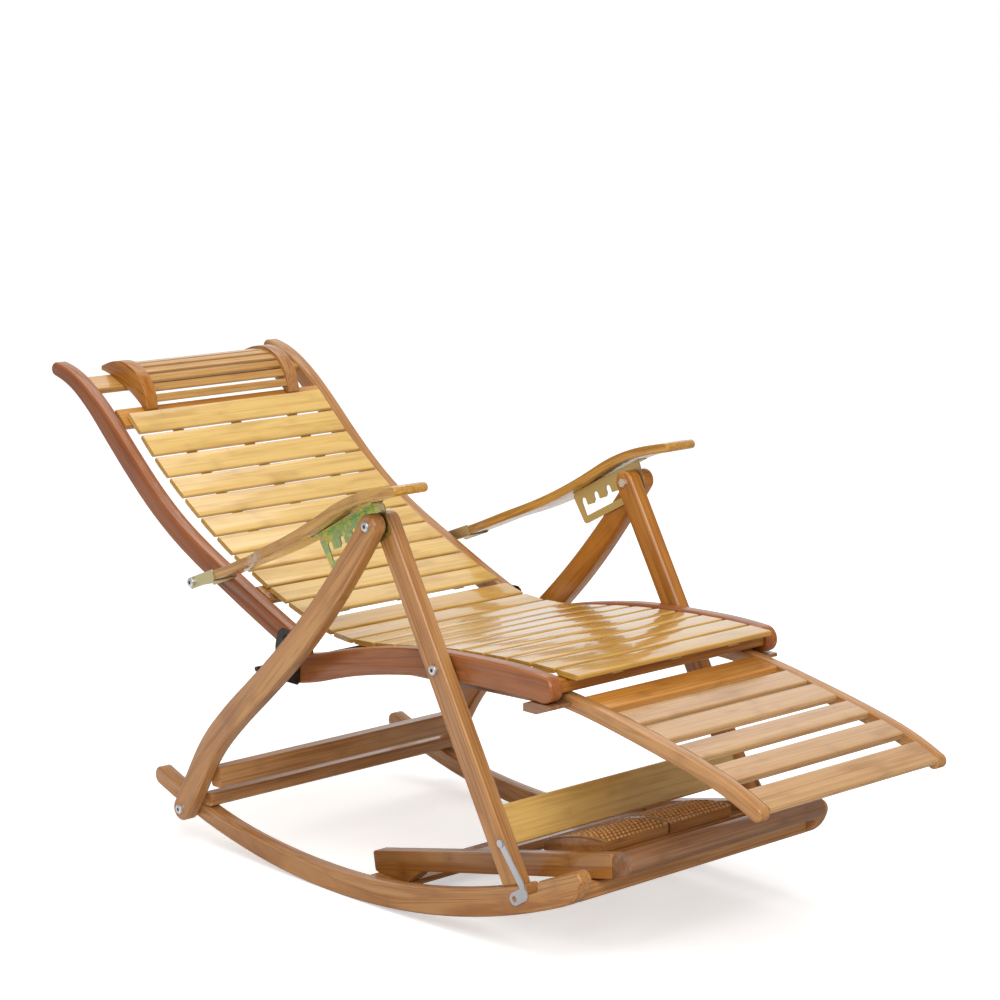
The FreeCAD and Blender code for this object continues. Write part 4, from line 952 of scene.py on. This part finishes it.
class CHAIR_OT_bolt_caps(bpy.types.Operator):
    """Domed heads with a hexagon socket on the outer ends of the bolts"""
    bl_idname = "chair.bolt_caps"
    bl_label = "Bolt caps"

    def execute(self, context):
        tree = cap_tree()
        radius = context.scene.chair_sizes.cap_radius
        cap = new_object("cap_shape", self.cap_mesh(radius))
        shade_prism = new_object("socket_shape", self.socket_shade_mesh(radius))
        # Piece, node of the bolts, body, finish.
        for name, node, body, finish in (("base_bolt_caps", "base_bolts", "base", "bright_zinc"),
                                         ("seat_bolt_caps", "seat_bolts", "leg_frame", "bright_zinc"),
                                         ("back_screw_caps", "back_screws", "leg_frame", "dark_steel_and_shade"),
                                         ("arm_bolt_caps", "arm_bolts", "back", "bright_zinc"),
                                         ("leg_pin_caps", "rear_leg_pins", "leg_frame", "bright_zinc")):
            low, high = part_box(node)
            points = coordinates(NODES[node].data)
            outer = points[points[:, 0] > high.x - BOLT_END, 1:]
            middle = (outer.min(0) + outer.max(0)) / 2.0
            ends = [(high.x - CAP_SEAT, *middle), (low.x + CAP_SEAT, *middle)]
            # The caps, then the dark prisms of painted shade at the bottom of their sockets.
            for piece, shape, look in ((name, cap, finish), (name + "_sockets", shade_prism, "dark_steel_and_shade")):
                mesh = point_mesh(piece, ends, {"turn": [0.0, math.pi]})
                made = grown(new_object(piece + "_points", mesh), tree,
                             {"Cap": shape, "Material": finish_of(look)}, piece)
                dress(made, look, body)
        bpy.data.objects.remove(cap)
        bpy.data.objects.remove(shade_prism)
        return {"FINISHED"}

    def ring(self, height, reach, steps, hexagon=False):
        """Points about X on a circle, or on a hexagon whose corners have that reach."""
        points = []
        for i in range(steps):
            turn = 2.0 * math.pi * i / steps
            fold = turn % (math.pi / 3.0) - math.pi / 6.0
            out = reach * math.cos(math.pi / 6.0) / math.cos(fold) if hexagon else reach
            points.append((height, out * math.cos(turn), out * math.sin(turn)))
        return points

    def stack(self, name, rings):
        """Closed mesh of rings of points joined one after the other."""
        steps = len(rings[0])
        faces = [tuple(range(steps))[::-1], tuple(range((len(rings) - 1) * steps, len(rings) * steps))]
        for low in range(0, (len(rings) - 1) * steps, steps):
            for i in range(steps):
                j = (i + 1) % steps
                faces.append((low + i, low + j, low + steps + j, low + steps + i))
        mesh = bpy.data.meshes.new(name)
        mesh.from_pydata([point for ring in rings for point in ring], [], faces)
        shape = bmesh.new()
        shape.from_mesh(mesh)
        bmesh.ops.recalc_face_normals(shape, faces=shape.faces)
        shape.to_mesh(mesh)
        shape.free()
        return mesh

    def socket_shade_mesh(self, radius):
        """Small dark hexagonal prism at the bottom of the socket: painted shade, standing for the dark of a
        deeper socket.
        """
        reach = radius * SOCKET_SHADE_SHARE
        return self.stack("socket", [self.ring(height, reach, 6) for height in SOCKET_SHADE_HEIGHTS])

    def cap_mesh(self, radius):
        """Head turned about X: a dome that falls to its rim, with a hexagon socket in the middle."""
        rings = [self.ring(height, radius * share, CAP_STEPS) for share, height in CAP_RINGS]
        rings += [self.ring(height, radius * SOCKET_SHARE, CAP_STEPS, True) for height in SOCKET_HEIGHTS]
        return self.stack("cap", rings)


class CHAIR_OT_stage(bpy.types.Operator):
    """Pale floor, even studio light and the camera"""
    bl_idname = "chair.stage"
    bl_label = "Stage"

    def execute(self, context):
        settings = context.scene.chair_stage
        scene = context.scene
        scene.view_settings.view_transform = "Standard"
        self.floor()
        self.room(settings.world_light)
        self.lamp("key_lamp", place=(-1.6, -2.4, 3.0), target=(0.0, 0.1, 0.4), size=(2.6, 2.6),
                  power=settings.key_power)
        self.lamp("top_lamp", place=(0.6, 1.2, 3.2), target=(0.0, 0.0, 0.42), size=(2.4, 1.6),
                  power=settings.top_power)
        data = bpy.data.cameras.new("camera")
        data.lens = settings.lens
        data.sensor_width = SENSOR_WIDTH
        data.clip_end = 100.0
        scene.camera = self.aimed("camera", data, CAMERA_PLACE, Vector(CAMERA_WAY).normalized())
        return {"FINISHED"}

    def aimed(self, name, data, place, way):
        """Camera or lamp that looks one way."""
        item = new_object(name, data)
        item.location = place
        item.rotation_euler = way.to_track_quat("-Z", "Y").to_euler()
        return item

    def floor(self):
        mesh = bpy.data.meshes.new("floor")
        reach = FLOOR_REACH
        mesh.from_pydata([(-reach, -reach, 0), (reach, -reach, 0), (reach, reach, 0), (-reach, reach, 0)], [],
                         [(0, 1, 2, 3)])
        floor = new_object("floor", mesh)
        material = bpy.data.materials.new("pale floor")
        material.use_nodes = True
        material.node_tree.nodes.clear()
        pen = Wiring(material.node_tree)
        paint = pen.out("ShaderNodeBsdfDiffuse", {"Color": (0.86, 0.86, 0.86, 1.0)})
        glow = pen.out("ShaderNodeEmission", {"Color": WHITE, "Strength": 0.5})
        path = pen.add("ShaderNodeLightPath").outputs
        # Polished faces that look forward mirror a darker floor, which keeps their colour deep.
        dark = pen.out("ShaderNodeBsdfDiffuse", {"Color": (0.14, 0.14, 0.14, 1.0)})
        along = pen.parts(pen.add("ShaderNodeTexCoord").outputs["Object"])[1]
        front = pen.times(pen.mapped(along, -0.8, 0.6, 1.0, 0.0), path["Is Glossy Ray"])
        plain = pen.out("ShaderNodeMixShader", {0: front, 1: paint, 2: dark})
        lit = pen.out("ShaderNodeAddShader", {0: paint, 1: glow})
        mixed = pen.out("ShaderNodeMixShader", {0: path["Is Camera Ray"], 1: plain, 2: lit})
        pen.add("ShaderNodeOutputMaterial", {"Surface": mixed})
        mesh.materials.append(material)

    def room(self, strength):
        world = bpy.data.worlds.new("room")
        bpy.context.scene.world = world
        world.use_nodes = True
        world.node_tree.nodes.clear()
        pen = Wiring(world.node_tree)
        path = pen.add("ShaderNodeLightPath").outputs
        # Polished faces mirror a bright wall behind the chair and a dimmer room elsewhere.
        way = pen.add("ShaderNodeTexCoord").outputs["Generated"]
        toward = pen.add("ShaderNodeVectorMath", {0: way, 1: (0.66, 0.71, 0.24)},
                         operation="DOT_PRODUCT").outputs["Value"]
        mirrored = pen.mapped(toward, 0.72, 0.96, 0.26, 0.95)
        level = pen.blend(path["Is Glossy Ray"], (strength, strength, strength, 1.0), mirrored)
        level = pen.blend(path["Is Camera Ray"], level, WHITE)
        back = pen.out("ShaderNodeBackground", {"Color": level, "Strength": 1.0})
        pen.add("ShaderNodeOutputWorld", {"Surface": back})

    def lamp(self, name, place, target, size, power):
        data = bpy.data.lights.new(name, "AREA")
        data.shape = "RECTANGLE"
        data.size, data.size_y = size
        data.energy = power
        self.aimed(name, data, place, Vector(target) - Vector(place))


class CHAIR_PT_panel(bpy.types.Panel):
    """Sizes, colours and steps of the recliner"""
    bl_idname = "CHAIR_PT_panel"
    bl_label = "Bamboo recliner"
    bl_space_type = "VIEW_3D"
    bl_region_type = "UI"
    bl_category = "Recliner"

    def draw(self, context):
        for group in (context.scene.chair_sizes, context.scene.chair_colours, context.scene.chair_stage):
            box = self.layout.box()
            for key in group.bl_rna.properties.keys():
                if key not in ("rna_type", "name"):
                    box.prop(group, key)
        for step in STEPS:
            self.layout.operator(step.bl_idname)


STEPS = (CHAIR_OT_side_boards, CHAIR_OT_armrests, CHAIR_OT_cross_bars, CHAIR_OT_laths, CHAIR_OT_webbing,
         CHAIR_OT_massage_pads, CHAIR_OT_metalwork, CHAIR_OT_bolt_caps, CHAIR_OT_stage)
GROUPS = (("chair_sizes", ChairSizes), ("chair_colours", ChairColours), ("chair_stage", StageSettings))


def register():
    for _, group in GROUPS:
        bpy.utils.register_class(group)
    for step in STEPS:
        bpy.utils.register_class(step)
    bpy.utils.register_class(CHAIR_PT_panel)
    for key, group in GROUPS:
        setattr(bpy.types.Scene, key, bpy.props.PointerProperty(type=group))


def unregister():
    for key, _ in GROUPS:
        delattr(bpy.types.Scene, key)
    bpy.utils.unregister_class(CHAIR_PT_panel)
    for step in reversed(STEPS):
        bpy.utils.unregister_class(step)
    for _, group in reversed(GROUPS):
        bpy.utils.unregister_class(group)


def main():
    register()
    bpy.ops.chair.side_boards()
    bpy.ops.chair.armrests()
    bpy.ops.chair.cross_bars()
    bpy.ops.chair.laths()
    bpy.ops.chair.webbing()
    bpy.ops.chair.massage_pads()
    bpy.ops.chair.metalwork()
    bpy.ops.chair.bolt_caps()
    bpy.ops.chair.stage()


if __name__ == "__main__":
    main()
